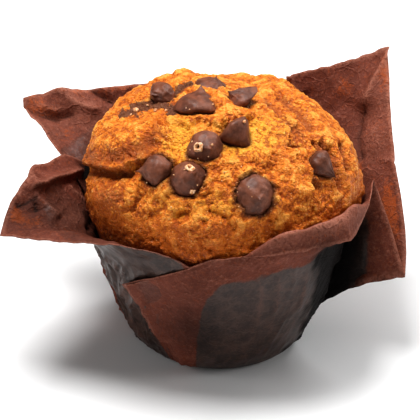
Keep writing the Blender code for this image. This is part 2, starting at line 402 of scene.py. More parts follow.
class Graph:
    """A material's shader graph, built on Object coordinates."""

    def __init__(self, name: str) -> None:
        """Starts a material with a Principled shader."""
        self.material = bpy.data.materials.new(name)
        self.material.use_nodes = True
        self.tree = self.material.node_tree
        self.shader = self.tree.nodes["Principled BSDF"]
        self.place = self.node("ShaderNodeTexCoord").outputs["Object"]

    def node(
        self,
        kind: str,
        settings: dict[str, object] | None = None,
        inputs: dict[str | int, object] | None = None,
    ) -> bpy.types.Node:
        """Adds a node.

        Args:
            kind: Its type.
            settings: Its own settings, which are made first.
            inputs: The value or link of each socket, by name or number.

        Returns:
            The new node.
        """
        made = self.tree.nodes.new(kind)
        for key, value in (settings or {}).items():
            setattr(made, key, value)
        for key, value in (inputs or {}).items():
            self.feed(made.inputs[key], value)
        return made

    def feed(self, socket: bpy.types.NodeSocket, value: object) -> None:
        """Links a signal or an output to a socket, or sets the socket to a plain value."""
        if isinstance(value, Signal):
            self.tree.links.new(value.socket, socket)
        elif isinstance(value, bpy.types.NodeSocket):
            self.tree.links.new(value, socket)
        elif isinstance(value, tuple) and socket.type == "RGBA":
            socket.default_value = (*value, 1)
        else:
            socket.default_value = value

    def settings(self, **values: object) -> None:
        """Sets the shader's own sockets, named with underscores for spaces."""
        for key, value in values.items():
            self.feed(self.shader.inputs[key.replace("_", " ")], value)

    def mark(self, name: str) -> Signal:
        """A value that was painted on the mesh."""
        made = self.node("ShaderNodeAttribute", {"attribute_name": name})
        return Signal(self, made.outputs["Fac"])

    def spread(self, size: float) -> bpy.types.NodeSocket:
        """Object coordinates in units of this many millimetres."""
        scale = (1 / (size * MM),) * 3
        return self.node("ShaderNodeMapping", None, {0: self.place, 3: scale}).outputs[0]

    def noise(
        self, size: float, detail: float = 3, rough: float = 0.5, warp: float = 0
    ) -> Signal:
        """Soft noise from 0 to 1.

        Args:
            size: How wide its lumps are, in millimetres.
            detail: How many finer layers it has.
            rough: How strong the finer layers are.
            warp: How far the pattern is stirred.

        Returns:
            The noise.
        """
        inputs = {"Vector": self.spread(size), "Scale": 1.0, "Detail": detail}
        inputs |= {"Roughness": rough, "Distortion": warp}
        return Signal(self, self.node("ShaderNodeTexNoise", None, inputs).outputs[0])

    def grains(self, size: float) -> Signal:
        """The distance from the middle of cells this many millimetres wide, in cell widths."""
        return self.cells({"feature": "F1"}, self.spread(size))

    def cells(self, settings: dict[str, object], place: bpy.types.NodeSocket) -> Signal:
        """A distance in cells 1 wide, in the way that the settings say."""
        inputs = {"Vector": place, "Scale": 1.0}
        made = self.node("ShaderNodeTexVoronoi", settings, inputs)
        return Signal(self, made.outputs["Distance"])

    def mix(self, share: Number, first: object, second: object) -> bpy.types.NodeSocket:
        """The colour part of the way from the first to the second."""
        settings = {"data_type": "RGBA"}
        return self.node("ShaderNodeMix", settings, {0: share, 6: first, 7: second}).outputs[2]

    def bump(self, height: Signal, depth: float) -> None:
        """Roughens the surface: a height of 1 stands this many millimetres proud."""
        inputs = {"Height": height, "Distance": depth * MM, "Strength": 1.0}
        self.settings(Normal=self.node("ShaderNodeBump", None, inputs).outputs[0])


# Finishes


@dataclass(frozen=True)
class CrustFinish:
    """Golden crust, with light and shade painted into its colour.

    Its grains are painted pale on top as highlight and deep orange between as shade. It is
    brown in browned patches and, as painted shade, in its grooves, dents and pores and under
    its torn edges. Towards the bottom it is painted darker and redder as shade, darkest where
    it meets the paper, it is painted dark round the chips as shade, and it has painted glints.
    """

    # Deep is partly random tone and partly painted shade in hollows and between grains; pale is
    # partly random tone and partly painted highlight on peaks and grain tops.
    deep: Colour = (0.38, 0.076, 0.003)
    golden: Colour = (0.67, 0.182, 0.010)
    pale: Colour = (0.88, 0.370, 0.062)
    crumb: Colour = (0.92, 0.42, 0.042)
    # Browned crust, also used as painted shade in grooves, dents, pores and under torn edges.
    toasted_and_shade: Colour = (0.29, 0.064, 0.008)
    # Painted shade: the rim colour darkens and reddens the crust low on the dome, and the edge
    # colour darkens it most where it meets the paper.
    rim: Colour = (0.50, 0.105, 0.002)
    edge: Colour = (0.22, 0.036, 0.002)
    # Painted shade round and under the chips; it is also the darkest tone of the melted chocolate.
    pocket: Colour = (0.070, 0.017, 0.004)
    chocolate: Colour = (0.135, 0.052, 0.030)
    # A painted highlight: the colour of small glints of reflected light.
    painted_glint: Colour = (0.97, 0.68, 0.34)

    def make(self) -> bpy.types.Material:
        """The material."""
        graph = Graph("golden_crust")
        blotch = graph.noise(4.0, detail=5, rough=0.65, warp=0.4)
        fine = graph.noise(1.0, detail=4, rough=0.7, warp=0.3)
        speck = graph.noise(0.55, detail=2)
        patches = 0.45 + 0.75 * graph.noise(9.0, detail=3).step(0.42, 0.60)
        grain = (graph.grains(1.05) - 0.55) * patches
        tiny = graph.grains(0.5) - 0.55
        # Painted light: the peak mark and the grain cells paint the tops paler as highlight and
        # the hollows and grain edges deeper as shade, over random tone.
        level = graph.mark("peak") * 0.66 + blotch * 0.80 - 0.23
        level = level + (fine - 0.5) * 0.8 - grain * 0.55 - tiny * 0.35
        colour = graph.mix(level.step(0.14, 0.47), self.deep, self.golden)
        colour = graph.mix(level.step(0.45, 0.86), colour, self.pale)
        crumb = graph.mark("crumb").step(0.1, 0.9)
        colour = graph.mix(crumb * (0.15 + 0.75 * level.step(0.15, 0.6)), colour, self.crumb)
        # Browning, with painted shade at the grain edges; the mark also holds painted shade in
        # grooves, dents and under torn edges.
        toast_and_shade = graph.mark("toast_and_shade") + (fine - 0.5) * 1.1 + grain * 0.6
        colour = graph.mix(toast_and_shade.step(0.3, 1.0) * 0.85, colour, self.toasted_and_shade)
        # Painted shade: darker and redder towards the bottom of the dome, darkest where the crust
        # meets the paper.
        rim = graph.mark("rim") + (blotch - 0.5) * 0.5 + grain * 0.4
        colour = graph.mix(rim.step(0.0, 0.9) * 0.85, colour, self.rim)
        colour = graph.mix(rim.step(0.8, 1.05) * 0.9, colour, self.edge)
        # Painted shade in small pores.
        pore = (1 - graph.grains(1.5).step(0.06, 0.2)) * blotch.step(0.44, 0.56)
        colour = graph.mix(pore * 0.6, colour, self.toasted_and_shade)
        # Painted shade round and under the chips.
        pocket = graph.mark("pocket").step(0.5, 0.95)
        colour = graph.mix(pocket * 0.85, colour, self.pocket)
        # Painted highlight: sparse glints, as if the lamps were reflected in the grains.
        painted_glint = (1 - graph.grains(0.9).step(0.10, 0.22)) * fine.step(0.47, 0.57)
        colour = graph.mix(painted_glint * 0.6, colour, self.painted_glint)
        melt = (graph.mark("melt") + (fine - 0.5) * 1.6 + (speck - 0.5) * 0.8).step(0.38, 0.62)
        dark = graph.mix(speck.step(0.35, 0.6), self.pocket, self.chocolate)
        colour = graph.mix(melt * 0.92, colour, dark)
        rough = 0.58 - 0.34 * speck.step(0.5, 0.65)
        graph.settings(Base_Color=colour, Roughness=rough, Subsurface_Weight=0.02)
        graph.settings(Subsurface_Radius=(1.0, 0.4, 0.1), Subsurface_Scale=0.6 * MM)
        graph.settings(Specular_IOR_Level=0.32)
        height = blotch * 0.3 + fine * 0.6 + speck * 0.2 - grain * 0.5 - tiny * 0.25 - pore * 0.2
        graph.bump(height, 1.15)
        return graph.material


@dataclass(frozen=True)
class CrumbFinish:
    """Loose bits of pale crumb."""

    light: Colour = (0.86, 0.56, 0.33)
    dark: Colour = (0.55, 0.24, 0.09)

    def make(self) -> bpy.types.Material:
        """The material."""
        graph = Graph("loose_crumb")
        colour = graph.mix(graph.noise(0.7).step(0.4, 0.62), self.dark, self.light)
        graph.settings(Base_Color=colour, Roughness=0.5, Subsurface_Weight=0.2)
        graph.settings(Subsurface_Radius=(1.0, 0.5, 0.25), Subsurface_Scale=0.6 * MM)
        graph.bump(graph.noise(0.3, detail=2), 0.1)
        return graph.material


@dataclass(frozen=True)
class ChocolateFinish:
    """Milk chocolate: a soft, slightly uneven sheen with a dull bloom and a few specks."""

    brown: Colour = (0.185, 0.060, 0.030)
    shade: Colour = (0.095, 0.029, 0.014)
    bloom: Colour = (0.29, 0.125, 0.080)

    def make(self) -> bpy.types.Material:
        """The material."""
        graph = Graph("milk_chocolate")
        cloud = graph.noise(3.2, detail=4)
        colour = graph.mix(cloud.step(0.35, 0.65), self.shade, self.brown)
        bloom = graph.noise(1.1, detail=5, rough=0.6)
        colour = graph.mix(bloom.step(0.5, 0.8) * 0.5, colour, self.bloom)
        specks = 1 - graph.grains(1.4).step(0.05, 0.16)
        colour = graph.mix(specks * graph.noise(4.0).step(0.5, 0.6) * 0.55, colour, self.bloom)
        graph.settings(Base_Color=colour, Roughness=0.36 + 0.20 * bloom)
        graph.settings(Specular_IOR_Level=0.34)
        height = graph.noise(1.6, detail=5, rough=0.62) * 0.8 + graph.noise(0.35, detail=2) * 0.14
        graph.bump(height, 0.36)
        return graph.material


@dataclass(frozen=True)
class PaperFinish:
    """Brown baking paper: fibrous and matt, rusty in flecks, dark where fat soaked it.

    Light and shade are painted into its colour: a bright rusty glow where light shines through
    the thin paper, pale highlights along its creases, pleats and cut edges, and black shade in
    its valleys and deep corners.
    """

    brown: Colour = (0.185, 0.058, 0.038)
    # Rust flecks, and also the painted light glowing through the thin paper.
    rust_and_backlight: Colour = (0.36, 0.078, 0.016)
    shade: Colour = (0.105, 0.029, 0.017)
    greasy: Colour = (0.012, 0.0058, 0.0038)
    damp: Colour = (0.050, 0.0260, 0.0180)
    # Black painted shade.
    black: Colour = (0.0030, 0.0012, 0.0008)
    # Pale wear on fibres and creases, and also painted highlight along folds and edges.
    wear_and_highlight: Colour = (0.40, 0.170, 0.115)
    stirring: float = 0.9
    wrinkle_width: float = 0.07

    def make(self) -> bpy.types.Material:
        """The material."""
        graph = Graph("brown_paper")
        cloud = graph.noise(6.0, detail=7, rough=0.7)
        colour = graph.mix(cloud.step(0.30, 0.70), self.shade, self.brown)
        fibres = graph.noise(0.9, detail=4, rough=0.7)
        grit = graph.noise(0.5, detail=2)
        flecks = graph.noise(1.2, detail=5, rough=0.75, warp=0.6)
        wrinkle = self.wrinkles(graph, 8.0) + self.wrinkles(graph, 3.7) * 0.6
        colour = graph.mix(grit.step(0.40, 0.62) * 0.45, colour, self.shade)
        colour = graph.mix(flecks.step(0.5, 0.72) * 0.36, colour, self.rust_and_backlight)
        light = fibres.step(0.52, 0.75) * 0.30 + wrinkle * fibres.step(0.42, 0.62) * 0.17
        colour = graph.mix(light, colour, self.wear_and_highlight)
        # Painted light: patches where light glows through the thin paper, painted a bright rusty
        # brown.
        backlight_glow = graph.mark("backlight_glow") + (flecks - 0.5) * 2.6 + (cloud - 0.5) * 1.2
        colour = graph.mix(backlight_glow.step(0.4, 1.2) * 0.75, colour, self.rust_and_backlight)
        ragged = graph.noise(3.5, detail=5, rough=0.62)
        outside = 0.35 + 0.65 * graph.mark("outside")
        soaked = (graph.mark("grease") + (ragged - 0.5) * 0.7).step(0.32, 0.66) * outside
        wet = ragged + (fibres - 0.5) * 0.8 + wrinkle * 0.12
        fat = graph.mix(wet.step(0.35, 0.70), self.greasy, self.damp)
        colour = graph.mix(soaked * 0.93, colour, fat)
        # Painted highlight along ridge crests, pleat creases and cut edges, with scuffs painted
        # pale.
        fold = graph.mark("fold") * fibres.step(0.3, 0.55)
        colour = graph.mix(fold * 0.6, colour, self.wear_and_highlight)
        # Painted shade: black in valleys, shaded corners and the wedge between the cup and the
        # right pleat.
        colour = graph.mix(graph.mark("painted_shade"), colour, self.black)
        graph.settings(Base_Color=colour, Roughness=0.7)
        graph.settings(Coat_Weight=soaked * (1 - graph.mark("painted_shade")) * 0.6)
        graph.settings(Specular_IOR_Level=0.12, Coat_Roughness=0.30, Coat_IOR=1.45)
        height = fibres * 0.6 + graph.noise(2.5, detail=5, rough=0.68) * 1.0 + wrinkle * 0.35
        graph.bump(height, 0.34)
        return graph.material

    def wrinkles(self, graph: Graph, size: float) -> Signal:
        """Fine crease lines, 1 on the line: the edges of stirred cells this many mm wide."""
        place = graph.spread(size)
        shift = graph.node("ShaderNodeTexNoise", None, {"Vector": place, "Scale": 1.3}).outputs[1]
        stirred = graph.node(
            "ShaderNodeVectorMath",
            {"operation": "MULTIPLY_ADD"},
            {0: shift, 1: (self.stirring,) * 3, 2: place},
        )
        edge = graph.cells({"feature": "DISTANCE_TO_EDGE"}, stirred.outputs[0])
        return 1 - edge.step(0.0, self.wrinkle_width)


@dataclass(frozen=True)
class FloorFinish:
    """The pale surface that the muffin stands on."""

    pale: Colour = (0.93, 0.93, 0.93)
    grey: Colour = (0.90, 0.90, 0.90)

    def make(self) -> bpy.types.Material:
        """The material."""
        graph = Graph("pale_floor")
        shade = graph.noise(300.0, detail=1)
        colour = graph.mix(shade * 0.1, self.pale, self.grey)
        graph.settings(Base_Color=colour, Roughness=0.8)
        return graph.material


# The chocolate chips


@dataclass(frozen=True)
class Flat:
    """A side that is pressed flat, facing this way, at this share of the radius."""

    facing: tuple[float, float, float]
    share: float
    softness: float = 0.15


@dataclass(frozen=True)
class Chip:
    """A chip: a drop with a round, flattish foot, which leans with its tip along an axis.

    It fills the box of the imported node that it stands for, moved and sized a little. The
    pinch is how thin its tip is, the dents are how uneven it is, the ripples are how many
    flutes run from its foot to its tip, the hook is how far its tip is bent aside, and the
    belly is the share of its height that its round foot takes up.
    """

    node: str
    radius: float
    height: float
    axis: tuple[float, float, float]
    squash: float = 1.0
    pinch: float = 0.9
    dents: float = 0.35
    ripples: int = 0
    hook: float = 0.5
    flats: tuple[Flat, ...] = ()
    move: tuple[float, float, float] = (0.0, 0.0, 0.0)
    size: tuple[float, float, float] = (1.0, 1.0, 1.0)
    turns: int = 56
    rows: int = 32
    belly: float = 0.3
    flute_depth: float = 0.13

    def outline(self) -> list[Vector]:
        """The turned outline from the foot to the tip."""
        points = []
        for row in range(self.rows + 1):
            share = row / self.rows
            if share < self.belly:
                width = math.sqrt(1 - (1 - share / self.belly) ** 2) ** 0.8
            else:
                lean = (share - self.belly) / (1 - self.belly)
                width = (1 - lean**1.7) ** (0.7 + 1.5 * self.pinch)
            points.append(Vector((self.radius * width, 0, self.height * (share - 0.5))))
        points[0].x = points[-1].x = 0
        return points

    def turned(self) -> bmesh.types.BMesh:
        """The plain drop, upright at the origin."""
        drop = bmesh.new()
        outline = [drop.verts.new(point) for point in self.outline()]
        edges = [drop.edges.new(pair) for pair in zip(outline, outline[1:])]
        bmesh.ops.spin(
            drop,
            geom=outline + edges,
            cent=(0, 0, 0),
            axis=(0, 0, 1),
            angle=math.tau,
            steps=self.turns,
            use_merge=True,
        )
        bmesh.ops.remove_doubles(drop, verts=drop.verts, dist=0.001)
        return drop

    def uneven(self, places: np.ndarray) -> np.ndarray:
        """The upright drop's points with its dents, flutes and bent tip."""
        seed = self.radius * 3.7 + self.height
        rise = places[:, 2] / self.height + 0.5
        angle = np.arctan2(places[:, 1], places[:, 0])
        out = places / np.maximum(np.linalg.norm(places, axis=1), 1e-6)[:, None]
        height = rolling(places, 5.0, 2, seed) * self.dents * 1.3
        height -= np.abs(rolling(places, 3.2, 2, seed + 2)) * self.dents * 1.2
        height += rolling(places, 1.4, 2, seed + 1) * self.dents * 0.3
        if self.ripples:
            wave = np.cos(angle * self.ripples + 4 * rise + rolling(places, 5.0, 1, seed) * 2)
            height += wave * self.flute_depth * smooth(rise / 0.35)
        places = places + out * height[:, None]
        places[:, 0] += smooth((rise - 0.5) / 0.5) * self.hook
        return places

    def mesh(self) -> bmesh.types.BMesh:
        """The uneven chip in its place on the muffin."""
        drop = self.turned()
        move_points(drop, self.uneven(places_of(drop)))
        turn = Vector(self.axis).to_track_quat("Z", "Y").to_matrix().to_4x4()
        bmesh.ops.transform(
            drop, matrix=turn @ Matrix.Diagonal((1, self.squash, 1, 1)), verts=drop.verts
        )
        places = places_of(drop)
        for flat in self.flats:
            facing = np.array(Vector(flat.facing).normalized())
            past = np.maximum(places @ facing - flat.share * self.radius, 0)
            places -= np.outer(past * (1 - flat.softness), facing)
        low, high = millimetres(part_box(self.node))
        own_low, own_high = places.min(axis=0), places.max(axis=0)
        share = (places - own_low) / (own_high - own_low) - 0.5
        middle = (low + high) / 2 + np.array(self.move)
        move_points(drop, middle + share * (high - low) * np.array(self.size))
        bmesh.ops.recalc_face_normals(drop, faces=drop.faces)
        return drop


@dataclass
class ChocolateChips:
    """The ten chips on top of the muffin."""

    finish: ChocolateFinish = field(default_factory=ChocolateFinish)
    chips: tuple[Chip, ...] = (
        Chip("chip_smeared", 5.6, 7.4, (-3, -2, 1), 0.75, 0.6, 0.6, move=(-1.4, -1.0, 0.2)),
        Chip(
            "chip_peaked", 6.7, 9.4, (0.1, 2.0, 3), pinch=0.5, dents=0.4, hook=-1.4, belly=0.16,
            flats=(Flat((-0.75, -0.75, 0.35), 0.72, 0.4),), move=(0.6, 0.2, -0.5),
            size=(1.08, 1.08, 1.08),
        ),
        Chip("chip_skyline", 5.8, 6.4, (1, 0.2, 3), dents=0.5, move=(2.2, 2.2, -0.9)),
        Chip(
            "chip_top_right", 5.3, 7.0, (-1.6, 0.2, 1.4), dents=0.45, ripples=15,
            flats=(Flat((0.2, -0.3, 1.0), 0.55),), move=(-1.2, 1.6, 0.4),
        ),
        Chip(
            "chip_leaning", 5.2, 11.0, (1.7, -1.2, -1.6), pinch=0.75, dents=0.3, hook=0.6,
            belly=0.16,
        ),
        Chip("chip_ringed", 5.6, 9.0, (0.4, -2.5, 1.4), pinch=0.5, dents=0.35),
        Chip(
            "chip_left", 5.6, 11.0, (-3, -0.5, 0.4), pinch=1.0, dents=0.5, belly=0.42,
            move=(0.3, 0.3, 0.3), size=(1.12, 0.9, 0.88),
        ),
        Chip(
            "chip_beaded", 5.7, 9.0, (0.1, -2.0, 1.9), pinch=0.6, dents=0.35, belly=0.2,
            move=(0.2, 1.0, 1.2), size=(0.98, 0.92, 0.92),
        ),
        Chip("chip_largest", 6.5, 9.6, (0.5, -2.5, 0.9), pinch=0.5, dents=0.45),
        Chip(
            "chip_right", 4.4, 11.0, (2.1, -1.0, -1.2), pinch=0.6, dents=0.25, ripples=9,
            hook=0.3,
        ),
    )

    def build(self) -> BVHTree:
        """Adds the chips.

        Returns:
            The surface of all of them, in millimetres.
        """
        material = self.finish.make()
        points: list[Vector] = []
        faces: list[list[int]] = []
        for chip in self.chips:
            shape = chip.mesh()
            first = len(points)
            shape.verts.index_update()
            points += [vertex.co.copy() for vertex in shape.verts]
            faces += [[first + vertex.index for vertex in face.verts] for face in shape.faces]
            add_piece(f"{chip.node}_shape", shape, material, Slot.CHOCOLATE, chip.node)
        return BVHTree.FromPolygons(points, faces)


# The cup's wall, which the cake and the paper share


@dataclass(frozen=True)
class Cup:
    """The round cup that the paper was pressed into, measured on the middle of the paper."""

    base_radius: float = 24.3
    spread: float = 15.3
    spread_height: float = 36.0
    curve: float = 0.6
    paper: float = 0.5
    gap: float = 0.3

    def radius(self, height: float) -> float:
        """The cup turns up sharply at the heel and then opens steadily."""
        share = max(height, 0.0) / self.spread_height
        return self.base_radius + self.spread * share**self.curve


# The cake


@dataclass(frozen=True)
class Swell:
    """A broad lump of the cake, or a hollow where its height is negative.

    It is centred this far round and this far up the dome, and it fades over its length,
    which runs round the dome unless it slants, and over its width.
    """

    degrees: float
    rise: float
    height: float
    length: float
    width: float
    slant: float = 0.0

    def at(self, ball: np.ndarray, radius: float) -> np.ndarray:
        """The height at each place, given as points of the dome drawn back to a unit ball."""
        middle = polar(math.cos(math.radians(self.rise)), self.degrees, 0)
        middle.z = math.sin(math.radians(self.rise))
        around = polar(1, self.degrees + 90, 0)
        upward = middle.cross(around)
        slant = math.radians(self.slant)
        offset = (ball - np.array(middle)) * radius
        along = offset @ np.array(around * math.cos(slant) + upward * math.sin(slant))
        aside = offset @ np.array(upward * math.cos(slant) - around * math.sin(slant))
        height = self.height * oval(along, aside, self.length, self.width)
        return np.where(ball @ np.array(middle) > 0, height, 0.0)


BROAD_SWELLS = (
    Swell(192, 33, 2.0, 15, 9),
    Swell(212, 12, 1.8, 14, 9),
    Swell(285, -6, 1.0, 30, 6),
    Swell(240, 66, 1.2, 10, 7),
    Swell(45, 68, -4.6, 20, 15),
    Swell(345, 20, 0.8, 14, 10),
    Swell(60, 30, 1.5, 18, 10, 20),
    Swell(100, 12, -1.3, 15, 4.5, -12),
    Swell(140, 34, 1.2, 14, 10),
    Swell(24, 26, -3.6, 13, 9),
    Swell(10, 11, -2.5, 12, 8),
    Swell(176, 24, -1.8, 8, 6),
    Swell(42, 39, -1.6, 8, 7),
    Swell(84, 50, -3.6, 13, 8),
    Swell(118, 49, 2.2, 8, 6),
    Swell(172, 10, -1.5, 8, 8),
    Swell(190, 2, -1.6, 20, 9),
)

LIPS = (
    Lip(
        ((-15.5, 18.6), (-10.8, 17.3), (-6.2, 18.6), (-0.2, 17.0), (5.9, 18.0), (12.6, 20.7)),
        1.1, 6, 1.3, 3.4, 0.7,
    ),
    Lip(
        ((-15.5, 2.5), (-14.5, 6.0), (-16.7, 10.6), (-18.9, 13.8), (-20.5, 17.5), (-21, 20)),
        1.6, 6, 1.5, 3.0,
    ),
    Lip(
        (
            (-46, 3.8), (-42.4, 4.0), (-39.2, 2.9), (-35.2, 2.2), (-31.0, 2.0), (-27.9, 3.6),
            (-24, 6),
        ),
        2.6, 5, 3.6, 2.2, 0.6,
    ),
    Lip(
        (
            (28.5, -8), (30.0, -3), (29.3, -0.5), (28.1, 3.6), (27.5, 7.3), (26.3, 9.1),
            (20.5, 10.6),
        ),
        1.4, 8, 1.5, 2.5,
    ),
)

GROOVES = (
    Groove(((-44, 2.6), (-39.2, 1.8), (-35.2, 1.1), (-31.0, 0.9), (-27.9, 2.4)), 2.0, 1.2),
    Groove(((-25.0, -4.6), (-26.5, -8.0), (-28.2, -11.5)), 1.1, 0.9),
    Groove(((18.0, 28.0), (20.0, 26.2), (24.7, 22.5), (28.4, 18.1), (31.0, 14.0)), 2.3, 1.3),
    Groove(((24.0, 26.0), (28.5, 21.5), (33.0, 15.0)), 0.7, 0.9),
    Groove(((38.7, 12.3), (40.8, 6.7), (42.1, 1.0)), 3.2, 0.9),
    Groove(((35.2, 11.0), (36.2, 8.2), (38.0, 3.5), (39.3, -2.7), (39.5, -6.0)), 3.8, 1.0),
    Groove(((32.6, 13.3), (33.4, 11.3), (35.6, 7.6), (37.1, 3.2), (37.4, -1.5)), 3.6, 0.9),
    Groove(((30.0, 13.0), (31.5, 10.4), (33.7, 6.7), (35.2, 1.9)), 3.2, 0.9),
    Groove(((13.0, 26.5), (18.5, 21.5), (23.0, 16.5), (26.0, 12.5)), 1.1, 1.0),
    Groove(((24.5, 17.5), (28.0, 12.5)), 1.0, 0.9),
    Groove(((-13.5, -4.5), (-8.0, -6.5), (-2.5, -5.5)), 0.8, 1.0),
    Groove(((6.0, -16.5), (12.0, -14.5), (17.0, -12.5)), 0.7, 1.0),
    Groove(((-3.0, -10.0), (3.0, -14.0), (5.5, -18.0)), 0.8, 1.0),
)

DENTS = (
    Patch(-31.0, 12.5, 2.0, 12, 6),
    Patch(-34.0, 5.8, -1.1, 9, 2.8, 8),
    Patch(-33.0, -6.0, 2.2, 9, 6.5),
    Patch(-13.0, 10.0, -1.9, 7, 3.4, 75),
    Patch(12.5, 14.0, -1.1, 5.5, 4.0, 30),
    Patch(15.8, 1.4, -2.0, 3.6, 2.6, 75),
    Patch(-12.4, -12.2, -1.7, 3.0, 1.5, -8),
    Patch(-3.5, 25.3, 1.7, 7.0, 2.0, -6),
    Patch(25.0, 24.0, -1.0, 1.6, 1.1, -30),
    Patch(24.2, 9.9, -1.5, 2.4, 1.0, -15),
    Patch(31.2, -2.4, -2.2, 2.4, 1.6, -30),
    Patch(-8.0, -16.0, 0.8, 9, 5),
    Patch(20.0, -8.0, 0.8, 8, 4, 20),
    Patch(-20.0, -11.5, -0.9, 4, 1.6, 30),
)

CALM = (
    Patch(-31.0, 15.0, 0.85, 8.5, 4.5, 20),
    Patch(-30.0, 6.0, -1.5, 11, 3.2, 5),
    Patch(-22.0, 10.0, -0.8, 3, 4),
    Patch(-3.0, 23.5, 0.7, 10, 4.5, -8),
    Patch(5.0, 22.0, 0.5, 8, 4.0),
    Patch(22.5, 2.0, 0.45, 5, 6),
    Patch(16.0, 1.5, 0.9, 3.5, 2.6, 75),
    Patch(37.0, 8.0, 0.9, 6, 15, 25),
    Patch(-13.5, 11.0, 0.6, 7.5, 3.6, 80),
)

CRUMB = (
    Patch(-13.5, 11.0, 1.2, 8.0, 4.0, 80),
    Patch(13.0, 14.0, 1.0, 8.5, 6.0, 20),
    Patch(4.0, 9.5, 0.6, 5.0, 3.5),
    Patch(-1.0, -9.0, 0.6, 9.0, 4.5),
    Patch(-18.0, -8.0, 0.45, 6.0, 4.0),
    Patch(-12.4, -12.2, 0.6, 3.0, 1.8),
)

# Patches painted brown: browned crust in places, and painted shade in the dents and the cleft that
# they lie on.
TOAST_AND_SHADE = (
    Patch(-30.0, 7.0, 1.1, 10.0, 3.6, 8),
    Patch(-21.5, 11.5, 0.7, 4.0, 2.5, 30),
    Patch(-40.5, 4.5, 1.0, 3.5, 4.0),
    Patch(-19.0, 15.5, 0.4, 3.0, 3.5),
    Patch(31.2, -2.4, 1.6, 2.6, 1.8, -30),
    Patch(24.2, 9.9, 1.3, 2.4, 0.9, -15),
    Patch(-35.0, -6.5, 1.05, 7.0, 6.0),
    Patch(-45.0, 8.0, 0.55, 3.5, 8.0),
    Patch(21.0, 13.0, 0.45, 8.0, 8.0),
    Patch(14.0, 26.0, 0.3, 8.0, 3.0, -20),
)

SMEAR = (
    Groove(
        ((-15.5, 28.0), (-18.7, 26.0), (-21.8, 24.3), (-25.5, 22.6), (-28.6, 21.2)),
        -1.5, 1.7, 0.02,
    ),
    Groove(((-27.0, 21.2), (-29.9, 19.9), (-32.0, 20.2)), -1.2, 1.4, 0.02),
    Groove(((-14.2, 23.8), (-16.5, 22.6), (-19.5, 23.4), (-21.5, 22.8)), -1.1, 1.3, 0.05),
    Groove(((-14.6, 23.0), (-15.4, 21.0), (-17.5, 20.3)), -0.8, 1.2, 0.05),
    Groove(((-15.0, 28.4), (-11.0, 29.2), (-7.5, 29.8)), -0.9, 1.1, 0.05),
)


@dataclass(frozen=True)
class Texture:
    """The crust between its cracks: soft lumps, crumbs and grit, with pits in places.

    The sizes are how far apart they are, and the shares how much of each stands up.
    """

    lump_size: float = 6.5
    lump_share: float = 0.58
    crumb_size: float = 2.0
    knob_size: float = 2.6
    crumb_share: float = 0.75
    grit_size: float = 1.35
    grit_share: float = 0.66
    pit_size: float = 2.3
    pit_depth: float = 0.8
    pitted_size: float = 7.0
    coarse_size: float = 9.0

    def at(
        self, places: np.ndarray, stir: np.ndarray, calm: np.ndarray
    ) -> tuple[np.ndarray, np.ndarray, np.ndarray]:
        """Works out the texture.

        Args:
            places: Points on the smooth dome.
            stir: An uneven shift of each, which breaks the patterns up.
            calm: How smooth the crust is at each, up to 1.

        Returns:
            The height of each point, how far it is a peak rather than a hollow, and the grit.
        """
        stirred = places + stir * 1.3
        lumps = np.abs(rolling(stirred, self.lump_size, 2, 5)) * 2.4 - 0.7
        crumbs = rolling(stirred, self.crumb_size, 2, 6) * 0.5
        crumbs = crumbs + np.abs(rolling(stirred, self.knob_size, 2, 16)) * 0.5 - 0.14
        grit = (0.42 - cells(places + stir * 0.4, self.grit_size, 18)) * 0.8
        pitted = smooth((rolling(places, self.pitted_size, 2, 9) + 0.1) / 0.35)
        hole = smooth((0.25 - cells(stirred, self.pit_size, 3)) / 0.14)
        pits = -self.pit_depth * hole * pitted
        coarse = 0.35 + 0.85 * smooth((rolling(places, self.coarse_size, 2, 17) + 0.35) / 0.7)
        small = (crumbs * self.crumb_share + grit * self.grit_share) * coarse
        height = (lumps * self.lump_share + small) * (1 - 0.6 * calm)
        height += pits * 0.8 * (1 - 0.4 * calm)
        # The peak share is painted light: the finish paints peaks paler as highlight and hollows
        # and pits darker as shade.
        peak = 0.5 + 0.68 * (crumbs + grit + pits) + 0.42 * lumps + 0.10 * calm
        return height, peak, grit


